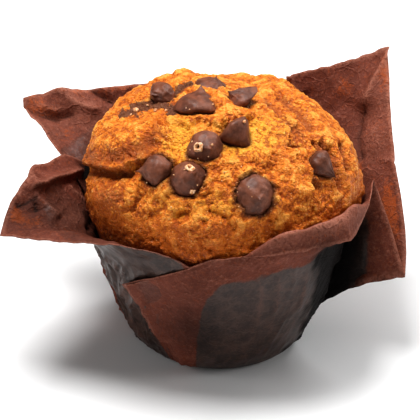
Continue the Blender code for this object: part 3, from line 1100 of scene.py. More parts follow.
@dataclass
class Cake:
    """The cake: it fills the cup and mushrooms over its rim into a lumpy, torn dome.

    The crust dips into a pocket round a chip that lies on top, and stands up in a collar
    round one that lies lower.
    """

    cup: Cup
    chips: BVHTree
    finish: CrustFinish = field(default_factory=CrustFinish)
    texture: Texture = Texture()
    dome_radius: float = 44.4
    dome_height: float = 32.0
    dome_middle: float = 56.5
    under_height: float = 17.0
    lowest_rise: float = -28.0
    bulge: float = 1.6
    bands: int = 400
    shift: float = 0.9
    ledge_bottom: float = 46.0
    ledge_height: float = 5.0
    slack: float = 0.35
    kept_below: float = -0.12
    chip_gap: float = 0.25
    pocket_reach: float = 6.0
    pocket_depth: float = 1.7
    deepest_chip: float = 14.0
    top_height: float = 84.0
    top_blend: float = 8.0
    collar: float = 0.8
    collar_width: float = 1.5
    collar_lump: float = 2.5
    scar_width: float = 2.2
    low_shade_top: float = 75.0
    low_shade_blend: float = 28.0
    fill_heights: tuple[float, ...] = (30.0, 14.0, 4.0)

    def build(self) -> BVHTree:
        """Adds the cake.

        Returns:
            Its surface, in millimetres.
        """
        shape = self.ball()
        ball = places_of(shape)
        places, out = self.dome(ball)
        height = self.relief(shape, ball, places, out)
        places = places + out * height[:, None]
        move_points(shape, self.clear_of_chips(shape, self.shifted(places), out))
        self.fill_cup(shape)
        bmesh.ops.recalc_face_normals(shape, faces=shape.faces)
        surface = BVHTree.FromBMesh(shape)
        add_piece("cake_crust", shape, self.finish.make(), Slot.CRUST, "cake")
        return surface

    def ball(self) -> bmesh.types.BMesh:
        """A unit ball of small triangles, cut off a little below its middle."""
        ball = bmesh.new()
        bmesh.ops.create_icosphere(ball, subdivisions=8, radius=1)
        bmesh.ops.bisect_plane(
            ball,
            geom=ball.verts[:] + ball.edges[:] + ball.faces[:],
            plane_co=(0, 0, self.kept_below),
            plane_no=(0, 0, -1),
            clear_outer=True,
        )
        return ball

    def outline(self, rise: np.ndarray) -> tuple[np.ndarray, np.ndarray]:
        """The radius and height of the smooth dome at these angles above its widest part."""
        above = rise > 0
        tuck = np.where(above, 1, np.cos(rise) ** -0.72)
        drop = np.where(above, self.dome_height, self.under_height)
        return self.dome_radius * np.cos(rise) * tuck, self.dome_middle + drop * np.sin(rise)

    def dome(self, ball: np.ndarray) -> tuple[np.ndarray, np.ndarray]:
        """Spreads the cut ball over the smooth dome, so that its triangles stay even.

        Args:
            ball: The ball's points.

        Returns:
            Each point's place on the dome, and the direction that lumps push it in.
        """
        rises = np.radians(np.linspace(90, self.lowest_rise, self.bands))
        radii, heights = self.outline(rises)
        band = (radii[1:] + radii[:-1]) * np.hypot(np.diff(radii), np.diff(heights))
        area = np.concatenate([[0], np.cumsum(band)])
        share = (1 - ball[:, 2]) / (1 - self.kept_below)
        rise = np.interp(share * area[-1], area, rises)
        radius, height = self.outline(rise)
        round_axis = ball[:, :2] / np.maximum(np.hypot(ball[:, 0], ball[:, 1]), 1e-9)[:, None]
        places = np.column_stack([round_axis * radius[:, None], height])
        upward = np.maximum(height - self.dome_middle, 0) * self.bulge
        out = np.column_stack([places[:, :2], upward])
        return places, out / np.linalg.norm(out, axis=1)[:, None]

    def above_cup(self, places: np.ndarray) -> np.ndarray:
        """How far each place is out of the cup, from 0 to 1."""
        return smooth((places[:, 2] - self.ledge_bottom) / self.ledge_height)

    def shifted(self, places: np.ndarray) -> np.ndarray:
        """The places, with those above the cup moved a little to the right."""
        moved = places.copy()
        moved[:, 0] += self.shift * self.above_cup(places)
        return moved

    def relief(
        self,
        shape: bmesh.types.BMesh,
        ball: np.ndarray,
        places: np.ndarray,
        out: np.ndarray,
    ) -> np.ndarray:
        """Works out the crust's relief and paints its marks.

        Args:
            shape: The mesh that the marks are painted on.
            ball: Its points on the unit ball.
            places: Its points on the smooth dome.
            out: The direction that lumps push each point in.

        Returns:
            The height of each point above the smooth dome.
        """
        above = (places[:, 2] - self.dome_middle) / self.dome_height
        unit = np.column_stack([places[:, :2] / self.dome_radius, above])
        unit /= np.linalg.norm(unit, axis=1)[:, None]
        broad = sum(swell.at(unit, self.dome_radius) for swell in BROAD_SWELLS)
        stir = np.column_stack([rolling(places, 3.6, 3, seed) for seed in (1, 2, 8)])
        wide = rolling(places, 15, 2, 3) * 0.8 + rolling(places, 6, 2, 4) * 0.5
        fade = self.above_cup(places)
        still = Face.chart(self.shifted(places + out * (fade * (broad + wide))[:, None]))
        still += stir[:, :2] * 0.3
        chart = still + stir[:, :2] * 0.6
        front = smooth(out @ np.array(Face.TOWARDS_VIEWER) / 0.25)
        grooves = total(GROOVES, still)
        detail = front * (total(LIPS, chart) + grooves + total(DENTS, chart))
        calm = np.clip(front * total(CALM, chart), -1.2, 1)
        grain, peak, grit = self.texture.at(places, stir, calm)
        scars = sum(lip.scar(chart, self.scar_width) for lip in LIPS)
        crumb = np.clip(front * total(CRUMB, chart), 0, 1)
        # Painted shade in the grooves and under the torn edges is added to the browning.
        toast_and_shade = front * (total(TOAST_AND_SHADE, chart) + 0.3 * scars - grooves / 1.8)
        melt = np.clip(front * total(SMEAR, chart), 0, 1)
        # Painted light: the peak mark lets the finish paint peaks as highlight and hollows as
        # shade.
        paint(shape, "peak", np.clip(peak, 0, 1))
        paint(shape, "crumb", np.clip(crumb + 0.4 * front * scars, 0, 1))
        paint(shape, "toast_and_shade", np.clip(toast_and_shade, 0, 1))
        # The rim mark is painted shade: 1 low on the dome, fading to 0 higher up.
        paint(shape, "rim", smooth((self.low_shade_top - places[:, 2] + 3 * wide) / self.low_shade_blend))
        paint(shape, "melt", melt)
        return fade * (broad + detail + wide + grain + melt * (0.3 + 0.9 * grit))

    def clear_of_chips(
        self, shape: bmesh.types.BMesh, places: np.ndarray, out: np.ndarray
    ) -> np.ndarray:
        """Presses the crust under the chips, so that each lies in a pocket with painted shade
        round it.

        Args:
            shape: The mesh that the pockets are painted on.
            places: The crust's points.
            out: The direction out of the crust at each.

        Returns:
            The points, with those inside or beside a chip moved down.
        """
        pressed = places.copy()
        pocket = np.zeros(len(places))
        for number in np.nonzero(places[:, 2] > self.dome_middle)[0]:
            place, outward = Vector(places[number]), Vector(out[number])
            _, _, _, gap = self.chips.find_nearest(place, self.pocket_reach)
            if gap is None:
                continue
            hit, normal, _, _ = self.chips.ray_cast(place, outward, self.deepest_chip)
            if hit is not None and normal.dot(outward) > 0:
                _, _, _, depth = self.chips.ray_cast(place, -outward, self.deepest_chip)
                pressed[number] = place - outward * ((depth or 0) + self.chip_gap)
                pocket[number] = 1
                continue
            closeness = (1 - gap / self.pocket_reach) ** 2
            lift = self.collar * math.exp(-(((gap - self.collar_width) / self.collar_width) ** 2))
            lift *= 0.9 + 1.2 * noise.noise(place / self.collar_lump)
            slope = smooth((self.top_height - place.z) / self.top_blend)
            pressed[number] = place + outward * lerp(-closeness * self.pocket_depth, lift, slope)
            pocket[number] = closeness
        # The pocket mark is painted shade: 1 under a chip, fading with distance from it.
        paint(shape, "pocket", pocket)
        return pressed

    def fill_cup(self, shape: bmesh.types.BMesh) -> None:
        """Carries the dome's lower rim down into the cup and closes its bottom."""
        floor = self.cup.paper + self.cup.gap
        inset = self.cup.paper / 2 + self.cup.gap + self.slack
        rim = [edge for edge in shape.edges if edge.is_boundary]
        for height in (self.ledge_bottom, *self.fill_heights, floor):
            made = bmesh.ops.extrude_edge_only(shape, edges=rim)["geom"]
            rim = [item for item in made if isinstance(item, bmesh.types.BMEdge)]
            radius = self.cup.radius(height - floor) - inset
            for vertex in (item for item in made if isinstance(item, bmesh.types.BMVert)):
                share = radius / math.hypot(vertex.co.x, vertex.co.y)
                vertex.co = (vertex.co.x * share, vertex.co.y * share, height)
            rim = [edge for edge in rim if edge.is_boundary]
        bmesh.ops.edgeloop_fill(shape, edges=rim)


# The paper case


class Corner(IntEnum):
    """The sheet's four corners, in the order of their petals."""

    FRONT_RIGHT = 0
    BACK_RIGHT = 1
    BACK_LEFT = 2
    FRONT_LEFT = 3


@dataclass(frozen=True)
class Line:
    """One line of the sheet, from the cup's heel up the wall and out to the cut edge.

    Its foot is how far round it starts, in degrees. It leaves the wall at one height, bends
    by a knee at another, which stands out from the wall by knee_out, and ends at its top. Its
    layer is how many layers of paper lie under it.
    """

    foot: float
    top: Vector
    leave: float
    knee: float
    knee_out: float = 0.0
    layer: float = 0.0

    def towards(self, other: "Line", share: float) -> "Line":
        """The line part of the way round to another, its top on the arc between their tops."""
        start, end = (math.hypot(line.top.x, line.top.y) for line in (self, other))
        turn = math.remainder(other.top_degrees() - self.top_degrees(), 360)
        top = polar(
            lerp(start, end, share),
            self.top_degrees() + turn * share,
            lerp(self.top.z, other.top.z, share),
        )
        return self.with_top(other, share, top)

    def with_top(self, other: "Line", share: float, top: Vector) -> "Line":
        """The line part of the way round to another, with a top of its own."""
        return Line(
            lerp(self.foot, other.foot, share),
            top,
            lerp(self.leave, other.leave, share),
            lerp(self.knee, other.knee, share),
            lerp(self.knee_out, other.knee_out, share),
            lerp(self.layer, other.layer, share),
        )

    def top_degrees(self) -> float:
        """How far round the top is."""
        return math.degrees(math.atan2(self.top.y, self.top.x))


@dataclass(frozen=True)
class Pleat:
    """Slack paper between two petals: out to a crease, which ends at the tip, and back."""

    first: Line
    crease: Line
    second: Line

    def lines(self, columns: int) -> Iterator[Line]:
        """The pleat's lines, this many to each side of the crease."""
        for start, end in ((self.first, self.crease), (self.crease, self.second)):
            for column in range(columns):
                yield start.towards(end, column / columns)


@dataclass(frozen=True)
class Bow:
    """How far a cut edge bends off the straight line between its ends, and where most."""

    reach: Vector
    skew: float = 1.0

    def edge(self, start: Vector, end: Vector, share: float) -> Vector:
        """The point of the edge part of the way from start to end."""
        return start.lerp(end, share) + self.reach * math.sin(math.pi * share**self.skew)


@dataclass(frozen=True)
class Rim:
    """Where along a petal its bend is raised to stand against the cake, and by how much."""

    rise: float = 0.0
    start: tuple[float, float] = (0.0, 0.1)
    stop: tuple[float, float] = (0.9, 1.0)

    def at(self, share: float) -> float:
        """The rise this far along the petal."""
        begun = smooth((share - self.start[0]) / (self.start[1] - self.start[0]))
        left = smooth((self.stop[1] - share) / (self.stop[1] - self.stop[0]))
        return self.rise * begun * left


@dataclass(frozen=True)
class Petal:
    """A corner of the sheet, with the bow of the cut edge on each side of it."""

    corner: Line
    before: Bow
    after: Bow
    rim: Rim = Rim()

    def lines(self, first: Line, last: Line, columns: int) -> Iterator[Line]:
        """The petal's lines between two pleats, this many to each side of the corner."""
        tip = self.corner
        for column in range(columns):
            share = column / columns
            line = first.with_top(tip, share, self.before.edge(first.top, tip.top, share))
            knee = line.knee + self.rim.at(share / 2)
            yield replace(line, knee=knee, layer=first.layer * (1 - smooth(2 * share)))
        for column in range(columns):
            share = column / columns
            line = tip.with_top(last, share, self.after.edge(tip.top, last.top, share))
            yield replace(line, knee=line.knee + self.rim.at((1 + share) / 2))


# A laid pleat: how far its feet are from its crease's, in degrees, the heights of their lines,
# and the share of its tip's height at which the crease leaves the wall.
PLEAT_SPREAD = 3
PLEAT_LEAVE = 34
PLEAT_KNEE = 45
CREASE_LEAVE = 0.62


def laid_pleat(
    foot: float, first_top: Vector, tip: Vector, second_top: Vector, bulge: float
) -> Pleat:
    """A pleat folded flat against the cup, clockwise of where its two petals meet.

    Args:
        foot: How far round its crease starts, in degrees.
        first_top: Where the petal before it ends.
        tip: Where its crease ends.
        second_top: Where the petal after it starts.
        bulge: How far its two petals stand off the wall.

    Returns:
        The pleat.
    """
    low = CREASE_LEAVE * tip.z
    return Pleat(
        Line(foot - PLEAT_SPREAD, first_top, PLEAT_LEAVE, PLEAT_KNEE, bulge),
        Line(foot, tip, low, lerp(low, tip.z, 0.5), 0, 1),
        Line(foot + PLEAT_SPREAD, second_top, PLEAT_LEAVE, PLEAT_KNEE, bulge, 2),
    )


PLEATS = (
    laid_pleat(
        240, Vector((-7.5, -44, 49.5)), Vector((-30.6, -27.6, 34)), Vector((-2.8, -46, 54)), 1.2
    ),
    Pleat(
        Line(352, Vector((48.8, -0.5, 55.2)), 30, 44, 1),
        Line(357, Vector((58.7, -15, 28.6)), 7, 17, 1),
        Line(368, Vector((57, 10, 52.4)), 14, 34, 3),
    ),
    laid_pleat(438, Vector((21.6, 43.5, 71.4)), Vector((38, 24, 42)), Vector((18, 47, 68.5)), 2.4),
    laid_pleat(537, Vector((-46.2, 8, 52)), Vector((-32, 30, 38)), Vector((-50.5, 14, 57.5)), 1.4),
)

PETALS = (
    Petal(
        Line(300, Vector((39.3, -35, 53.8)), 38, 50, 0.0),
        Bow(Vector((0.5, -3.5, 1))),
        Bow(Vector((1.2, -0.8, 0.5))),
        Rim(25, (0.0, 0.30), (0.62, 0.97)),
    ),
    Petal(
        Line(405, Vector((57.2, 48.5, 79.6)), 38, 50, 1),
        Bow(Vector((-1, 0, -0.5))),
        Bow(Vector((0, 0.5, -1.5))),
    ),
    Petal(
        Line(489, Vector((-65.3, 41.5, 64)), 38, 50),
        Bow(Vector((0, 1.5, 0.8))),
        Bow(Vector((-0.2, -0.5, -0.2))),
    ),
    Petal(
        Line(570, Vector((-68, -24, 49.5)), 36, 49, 2),
        Bow(Vector((-2.5, 0, 5.5))),
        Bow(Vector((-2, -3.5, 6.2)), 2),
        Rim(9, (0.45, 0.7), (0.8, 1.0)),
    ),
)


@dataclass(frozen=True)
class Crease:
    """A fold pressed into the paper: a ridge on its inner face, or a valley if negative."""

    line: tuple[FacePoint, ...]
    height: float
    width: float
    taper: float = 0.1

    def at(self, chart: np.ndarray) -> np.ndarray:
        """How strong the fold is at each place, from 0 to 1."""
        signed, along = reach(chart, self.line)
        return tapered(along, self.taper) * np.exp(-np.abs(signed) / self.width)


@dataclass(frozen=True)
class Pull:
    """Moves the paper near a place on the face by this much, to shape its outline."""

    u: float
    v: float
    across: float
    up: float
    size: float

    def at(self, chart: np.ndarray) -> np.ndarray:
        """The move of each place in space, parallel to the face."""
        offset = chart - np.array((self.u, self.v))
        share = np.exp(-(offset**2).sum(axis=1) / self.size**2)
        move = Vector((self.across, 0, 0)) + Face.UPWARD * self.up
        return share[:, None] * np.array(move)


@dataclass(frozen=True)
class CornerMarks:
    """What marks one corner of the sheet.

    Its creases, where light glowing through it is painted a rusty brown, where it is painted pale
    as scuffs that partly stand in for highlight, and how its outline is pulled.
    """

    creases: tuple[Crease, ...] = ()
    backlight_glow: tuple[Patch, ...] = ()
    scuffs: tuple[Patch, ...] = ()
    pulls: tuple[Pull, ...] = ()


# The glow patches paint light glowing through the paper; the scuffs paint it paler, partly as
# highlight.
CORNER_MARKS = {
    Corner.BACK_LEFT: CornerMarks(
        creases=(
            Crease(
                ((-66, 25.5), (-63.3, 24), (-57.4, 21.5), (-51.4, 19.2), (-45.5, 19.8)), -1.6, 1.5
            ),
            Crease(((-42.5, 29.5), (-41.5, 28.4), (-38.3, 26.0), (-34.0, 23.5)), -1.2, 1.2),
            Crease(
                ((-54.0, 29.0), (-51.9, 27.3), (-47.2, 24.3), (-42.6, 22.0), (-38, 22.3)), 1.3, 2.0
            ),
            Crease(((-60.0, 24.0), (-55.0, 22.5), (-50.0, 20.5)), 0.8, 1.0),
        ),
        backlight_glow=(
            Patch(-61, 26.5, 0.8, 5, 2.5, -20),
            Patch(-55, 21.5, 0.9, 6, 1.6, -20),
            Patch(-46, 27, 0.7, 5, 2.0),
            Patch(-32, 29, 1.0, 7, 2.2, 10),
            Patch(-49, 14, 0.5, 4, 3.0),
        ),
        scuffs=(
            Patch(-43, 21, 0.5, 7, 5),
            Patch(-55, 15, 0.3, 5, 5),
        ),
        pulls=(
            Pull(-52.0, 28.5, 0.0, 1.3, 5),
            Pull(-59.5, 20.5, -1.5, 0.3, 3.5),
            Pull(-60.0, 24.0, 0.0, 0.7, 3),
        ),
    ),
    Corner.BACK_RIGHT: CornerMarks(
        creases=(
            Crease(
                ((57.5, 45.0), (54.6, 38.4), (52.5, 34.4), (49.8, 29.4), (45.2, 20.1)), 1.5, 2.6
            ),
            Crease(((21.0, 36.0), (22.1, 33.5), (23.4, 30.5), (25.5, 26.0)), 1.2, 2.0),
            Crease(((51.0, 6.0), (54.5, 5.2), (58.0, 4.3)), 0.5, 1.0),
            Crease(((47.2, 24.4), (45.1, 17.7), (43.7, 12.7), (46.1, 4.0)), -1.0, 3.0),
        ),
        backlight_glow=(
            Patch(21.5, 32, 1.0, 2, 3.0),
            Patch(40, 29, 0.9, 4.5, 3.5, 20),
            Patch(54, 33, 0.9, 3.0, 8.0),
            Patch(50, 14, 0.5, 5.0, 5.0),
            Patch(54.5, -12, 1.4, 3.5, 12.0),
            Patch(36, 36, 0.5, 6.0, 2.0, 20),
            Patch(45, 3, 0.7, 3.0, 5.0),
        ),
        scuffs=(
            Patch(48, 12, 0.55, 4, 9),
            Patch(54, 20, 0.4, 4, 14),
        ),
    ),
    Corner.FRONT_LEFT: CornerMarks(
        creases=(
            Crease(
                ((-63, -4.2), (-61.1, -3.5), (-56.8, -2.2), (-51.2, 0.2), (-44.5, 2.0)), 2.0, 2.2
            ),
            Crease(((-61.0, -5.0), (-56.4, -9.1), (-51.5, -13.4)), 1.0, 1.3),
            Crease(((-43.5, -17.0), (-41.1, -16.5), (-40.1, -13.5)), -0.6, 1.2),
            Crease(((-60.5, 1.5), (-60.3, -3.5)), 0.9, 1.5),
            Crease(((-66, -9.0), (-60.0, -6.5), (-58.5, -12.0)), -0.8, 3.0),
            Crease(((-50.0, -2.5), (-45.0, -8.0), (-40.0, -13.0)), 0.6, 1.5),
        ),
        backlight_glow=(
            Patch(-65, -11, 1.0, 2.5, 4.0),
            Patch(-60, -14.5, 0.8, 5.0, 2.5, -15),
            Patch(-59, -9, 0.6, 3.0, 2.5),
            Patch(-48, -17.5, 0.5, 7.0, 2.0),
        ),
        scuffs=(
            Patch(-46, -12, 0.35, 9, 3),
        ),
        pulls=(
            Pull(-55.0, 3.5, -0.6, -1.2, 5),
            Pull(-62.0, -3.5, 0.7, -0.8, 5),
            Pull(-58.5, 2.5, -1.2, 0.9, 2.5),
        ),
    ),
    Corner.FRONT_RIGHT: CornerMarks(
        creases=(
            Crease(((5.0, -23.0), (16.0, -19.5), (27.0, -16.0)), 0.5, 1.6),
        ),
        backlight_glow=(
            Patch(33, -19, 0.5, 8, 2.0, 10),
        ),
        scuffs=(
            Patch(24, -16, 0.75, 24, 4.5, 18),
            Patch(38, -8, 0.6, 6, 6),
            Patch(34, -14, 0.6, 5, 4),
        ),
    ),
}

WALL_CREASES = (
    Crease(((-37.3, -21.0), (-35.4, -25.3), (-33.6, -27.8), (-32.3, -29.6)), -1.0, 0.8),
    Crease(
        ((-32.0, -21.5), (-30.8, -25.3), (-30.2, -27.1), (-30.5, -29.0), (-31.6, -31.5)), -1.0, 0.8
    ),
    Crease(((-30.8, -24.5), (-29.2, -27.1), (-28.0, -29.3), (-26.6, -32.0)), -1.0, 0.8),
    Crease(((-31.7, -32.0), (-30.5, -35.8), (-28.6, -39.2), (-26.6, -41.9)), -0.9, 0.8),
    Crease(((-28.0, -37.5), (-26.5, -39.9), (-25.2, -42.6), (-23.8, -45.5)), -0.9, 0.8),
    Crease(((-29.0, -43.0), (-27.1, -47.0), (-24.6, -49.2), (-22.5, -51.5)), -0.8, 0.8),
    Crease(((-24.5, -22.0), (-21.0, -27.0), (-20.0, -31.0)), -0.7, 1.6),
    Crease(((12.5, -31.0), (12.9, -38.0), (12.3, -45.0)), -0.5, 1.2),
    Crease(((18.9, -30.5), (18.6, -37.0), (17.4, -44.0)), -0.5, 1.2),
    Crease(((27.5, -29.5), (26.6, -36.0), (25.2, -43.0)), -0.5, 1.0),
)

FLAP_STAIN = (
    (-7.3, -62.0), (-7.3, -53.2), (-6.6, -45.5), (-4.1, -38.3), (0.1, -34.2),
    (4.3, -31.7), (7.3, -30.5), (12.1, -29.3), (19.3, -26.6), (30.0, -22.0),
)

# Patches of painted shade on the paper.
SHADED = (
    Patch(-40.5, -1.0, 1.0, 2.2, 6.5, 8),
    Patch(-41.5, 3.5, 0.8, 3.5, 3.0),
    Patch(-60.0, -12.0, 0.55, 12.0, 7.0),
    Patch(-9.0, -49.0, 0.65, 10.0, 10.0),
    Patch(33.5, -29.0, 1.0, 4.5, 9.0),
    Patch(-50.5, 14.0, 0.2, 6.0, 4.0),
    Patch(-42.0, 0.5, 0.9, 2.0, 4.0, 60),
)


@dataclass
class Sheet:
    """What the paper's mesh knows about each of its points."""

    places: np.ndarray
    normals: np.ndarray
    petal: np.ndarray
    layer: np.ndarray
    edge: np.ndarray
    crest: np.ndarray

    @classmethod
    def read(cls, shape: bmesh.types.BMesh) -> "Sheet":
        """Reads it all from the mesh and its layers."""
        shape.normal_update()
        marks = {
            name: np.array([vertex[shape.verts.layers.float[name]] for vertex in shape.verts])
            for name in ("petal", "layer", "edge", "crest")
        }
        normals = np.array([vertex.normal for vertex in shape.verts])
        return cls(places_of(shape), normals, **marks)


@dataclass
class PaperCase:
    """The square sheet of paper, pressed into a cup with its four corners standing out."""

    cup: Cup
    cake: BVHTree
    finish: PaperFinish = field(default_factory=PaperFinish)
    petal_columns: int = 52
    pleat_columns: int = 9
    base_rows: int = 4
    wall_rows: int = 27
    flare_rows: int = 56
    pleat_layer: float = 0.95
    pleat_layer_rise: float = 4.0
    thickness: float = 0.3
    flat_base: float = 1.0
    crease_wander: float = 0.7
    crease_depth: float = 1.9
    fray: float = 0.5
    cut_start: float = 0.965
    heel_height: float = 3.0
    cake_gap: float = 0.4
    layer_gap: float = 0.5
    lowest_cake: float = 20.0
    widest_cake: float = 80.0
    soak_height: float = 48.0
    soak_radius: float = 45.0

    def columns(self) -> Iterator[tuple[int, float, Line]]:
        """Each line of the sheet with its petal, anticlockwise from the front.

        Yields:
            The petal's number, how nearly the line is a pleat's crease, and the line.
        """
        for number, petal in enumerate(PETALS):
            before, after = PLEATS[number], PLEATS[(number + 1) % len(PLEATS)]
            last = after.first
            if last.foot < petal.corner.foot:
                last = replace(last, foot=last.foot + 360)
            for column, line in enumerate(before.lines(self.pleat_columns)):
                owner = number if column >= self.pleat_columns else (number - 1) % len(PETALS)
                yield owner, float(column == self.pleat_columns), line
            for line in petal.lines(before.second, last, self.petal_columns):
                yield number, 0.0, line

    def stand_off(self, line: Line, height: float) -> float:
        """How far the line stands off the cup's wall because of the layers under it."""
        return line.layer * self.pleat_layer * smooth(height / self.pleat_layer_rise)

    def points(self, line: Line) -> list[Vector]:
        """The line's points from the middle of the base to the cut edge."""
        middle = self.cup.paper / 2
        top_radius = math.hypot(line.top.x, line.top.y)
        flare = math.hypot(line.top.z - line.leave, top_radius - self.cup.radius(line.leave))
        turn = math.remainder(line.top_degrees() - line.foot, 360)
        turn_per_length = turn / (line.leave + flare)
        rows = [
            polar(self.cup.base_radius * row / self.base_rows, line.foot, middle)
            for row in range(self.base_rows)
        ]
        for row in range(self.wall_rows + 1):
            height = line.leave * (row / self.wall_rows) ** 1.4
            radius = self.cup.radius(height) + self.stand_off(line, height)
            rows.append(polar(radius, line.foot + turn_per_length * height, height + middle))
        knee = polar(
            self.cup.radius(line.knee) + self.stand_off(line, line.knee) + line.knee_out,
            line.foot + turn_per_length * (line.leave + flare / 2),
            line.knee,
        )
        start = rows[-1]
        for row in range(1, self.flare_rows + 1):
            point = bezier(start, knee, line.top, row / self.flare_rows)
            rows.append(self.off_the_wall(line, point))
        return rows

    def off_the_wall(self, line: Line, point: Vector) -> Vector:
        """The point, moved out to the cup's wall if it is inside."""
        radius = math.hypot(point.x, point.y)
        least = self.cup.radius(point.z) + self.stand_off(line, point.z)
        if radius >= least:
            return point
        return Vector((point.x * least / radius, point.y * least / radius, point.z))

    def build(self) -> bpy.types.Object:
        """Adds the case."""
        shape = self.smooth_sheet()
        bmesh.ops.remove_doubles(shape, verts=shape.verts, dist=0.001)
        bmesh.ops.reverse_faces(shape, faces=shape.faces)
        sheet = Sheet.read(shape)
        move_points(shape, self.clear_of_cake(self.crumple(sheet, shape), sheet.layer))
        self.give_thickness(shape)
        return add_piece("paper_case_sheet", shape, self.finish.make(), Slot.PAPER, "paper_case")

    def smooth_sheet(self) -> bmesh.types.BMesh:
        """The smooth sheet, with what is known about each of its points on layers."""
        lines = list(self.columns())
        columns = [self.points(line) for _, _, line in lines]
        rows = len(columns[0])
        sheet = bmesh.new()
        bmesh.ops.create_grid(sheet, x_segments=len(columns), y_segments=rows - 1, size=1)
        layers = sheet.verts.layers.float
        petals, pleats, edges, crests = (
            layers.new(name) for name in ("petal", "layer", "edge", "crest")
        )
        for vertex in sheet.verts:
            column = round((vertex.co.x + 1) / 2 * len(columns)) % len(columns)
            row = round((vertex.co.y + 1) / 2 * (rows - 1))
            vertex.co = columns[column][row]
            petal, crest, line = lines[column]
            vertex[petals] = petal
            vertex[pleats] = line.layer
            vertex[edges] = max(row - self.base_rows - self.wall_rows, 0) / self.flare_rows
            vertex[crests] = crest
        return sheet

    def crumple(self, sheet: Sheet, shape: bmesh.types.BMesh) -> np.ndarray:
        """Creases the sheet and paints its marks.

        Args:
            sheet: The smooth sheet.
            shape: The mesh that the marks are painted on.

        Returns:
            The creased sheet's points.
        """
        places, edge = sheet.places, sheet.edge
        chart = Face.chart(places)
        ragged = np.column_stack([rolling(places, 7, 2, 11), rolling(places, 7, 2, 12)])
        bent = chart + ragged * self.crease_wander
        flare, upright = smooth(edge / 0.3), smooth(places[:, 2] / 5)
        front = places[:, 1] < 0
        fold = np.zeros(len(places))
        height = np.zeros(len(places))
        backlight_glow = np.zeros(len(places))
        # Painted shade from the shaded patches, none at the foot of the case.
        painted_shade = total(SHADED, chart) * smooth(places[:, 2] / 20)
        pull = np.zeros_like(places)
        for corner, marks in CORNER_MARKS.items():
            mask = (sheet.petal == corner) * flare
            # Painted light glowing through the paper.
            backlight_glow += total(marks.backlight_glow, chart) * mask
            # Scuffs painted pale, partly standing in for light falling on the paper.
            fold += total(marks.scuffs, chart) * mask
            for crease in marks.creases:
                share = crease.at(bent) * mask
                height += share * crease.height * self.crease_depth
                # Painted highlight on a ridge's crest; painted shade in a valley.
                fold += share**4 * (crease.height > 0)
                painted_shade += share**4 * 0.6 * (crease.height < 0)
            loose = (sheet.petal == corner) * smooth(edge / 0.5)
            for move in marks.pulls:
                pull += move.at(chart) * loose[:, None]
        for crease in WALL_CREASES:
            share = crease.at(bent) * upright * front * (1 - flare)
            height += share * crease.height
            # Painted highlight along the wall's creases.
            fold += share**3 * 0.25
        plain = smooth((places[:, 0] + 16) / 9) * smooth((-places[:, 1] - 8) / 10)
        height += (1 - flare) * upright * self.crinkle(places) * (1 - 0.7 * plain)
        calmer = 1 - 0.6 * smooth((edge - 0.75) / 0.25)
        height += flare * self.facets(places) * calmer * (1 - 0.5 * plain)
        frayed = rolling(places, 3.5, 3, 16) * smooth((edge - 0.8) / 0.2) * self.fray
        pull += frayed[:, None] * np.array(Face.UPWARD)
        moved = places + sheet.normals * height[:, None] + pull
        moved[:, 2] = np.where(places[:, 2] < self.flat_base, places[:, 2], moved[:, 2])
        self.paint_marks(shape, sheet, np.clip(fold, 0, 1), np.clip(backlight_glow, 0, 1), painted_shade)
        return moved

    def crinkle(self, places: np.ndarray) -> np.ndarray:
        """The height of the sharp, upright ridges and valleys that the wall is pressed into."""
        wide = rolling(places * np.array((1, 1, 0.45)), 9, 2, 13)
        narrow = rolling(places * np.array((1, 1, 0.6)), 4.5, 2, 14)
        sharp, sharper = (np.clip(1 - np.abs(wave) * 2.2, 0, 1) ** 3 for wave in (wide, narrow))
        return 0.4 - 1.2 * (sharp + sharper * 0.45)

    def facets(self, places: np.ndarray) -> np.ndarray:
        """The height of the flat, angular faces of crumpled paper."""
        faces = cells(places, 15, 4) * 1.9 + cells(places, 7, 5) * 0.7
        return faces - 1.1 + rolling(places, 4, 2, 15) * 0.25

    def paint_marks(
        self,
        shape: bmesh.types.BMesh,
        sheet: Sheet,
        fold: np.ndarray,
        backlight_glow: np.ndarray,
        painted_shade: np.ndarray,
    ) -> None:
        """Paints what the finish reads.

        Args:
            shape: The mesh that the marks are painted on.
            sheet: The smooth sheet.
            fold: How strongly each point is painted pale, as scuffs and as highlights along
                creases and edges.
            backlight_glow: How strongly each point is painted with light glowing through the
                paper.
            painted_shade: How much shade is painted on each point, in the sheet's folds and deep
                corners.
        """
        places, edge = sheet.places, sheet.edge
        ragged = rolling(places, 8, 3, 21)
        chart = Face.chart(places)
        left = smooth((-places[:, 0] - 6) / 10)
        limit = self.soak_height + 12 * left + 2.5 * ragged * (1 - 0.8 * left)
        beside_flap, _ = reach(chart, FLAP_STAIN)
        on_front = sheet.petal == Corner.FRONT_RIGHT
        on_flap = on_front * smooth(sheet.layer / 0.2)
        stain = 1 - on_flap * smooth((beside_flap + 1.8 + 0.8 * ragged) / 3.6)
        stain *= np.where(on_front, 1, smooth((0.95 - sheet.layer) / 0.5))
        soaked = smooth((limit - places[:, 2]) / 8) * stain
        radius = np.hypot(places[:, 0], places[:, 1])
        outside = smooth((radius - self.soak_radius - 9 * left) / 5)
        paint(shape, "grease", soaked * (1 - outside))
        # Painted light glowing through the paper.
        paint(shape, "backlight_glow", backlight_glow)
        # Painted highlights along the cut edges and the pleats' creases.
        cut = smooth((edge - self.cut_start) / 0.02) * 0.7
        crest = 0.9 * sheet.crest * smooth(places[:, 2] / self.heel_height)
        paint(shape, "fold", np.clip(fold + cut + crest, 0, 1))
        # Painted shade in the dark wedge between the cup's right wall and the right pleat, deep in
        # the corner.
        angle = np.degrees(np.arctan2(places[:, 1], places[:, 0]))
        beside = smooth((angle + 44 + 12 * ragged) / 14) * smooth((20 - angle + 14 * ragged) / 22)
        deep = smooth((52 - radius) / 12) * smooth((52 - places[:, 2]) / 10)
        paint(shape, "painted_shade", np.clip(beside * deep + painted_shade, 0, 1))

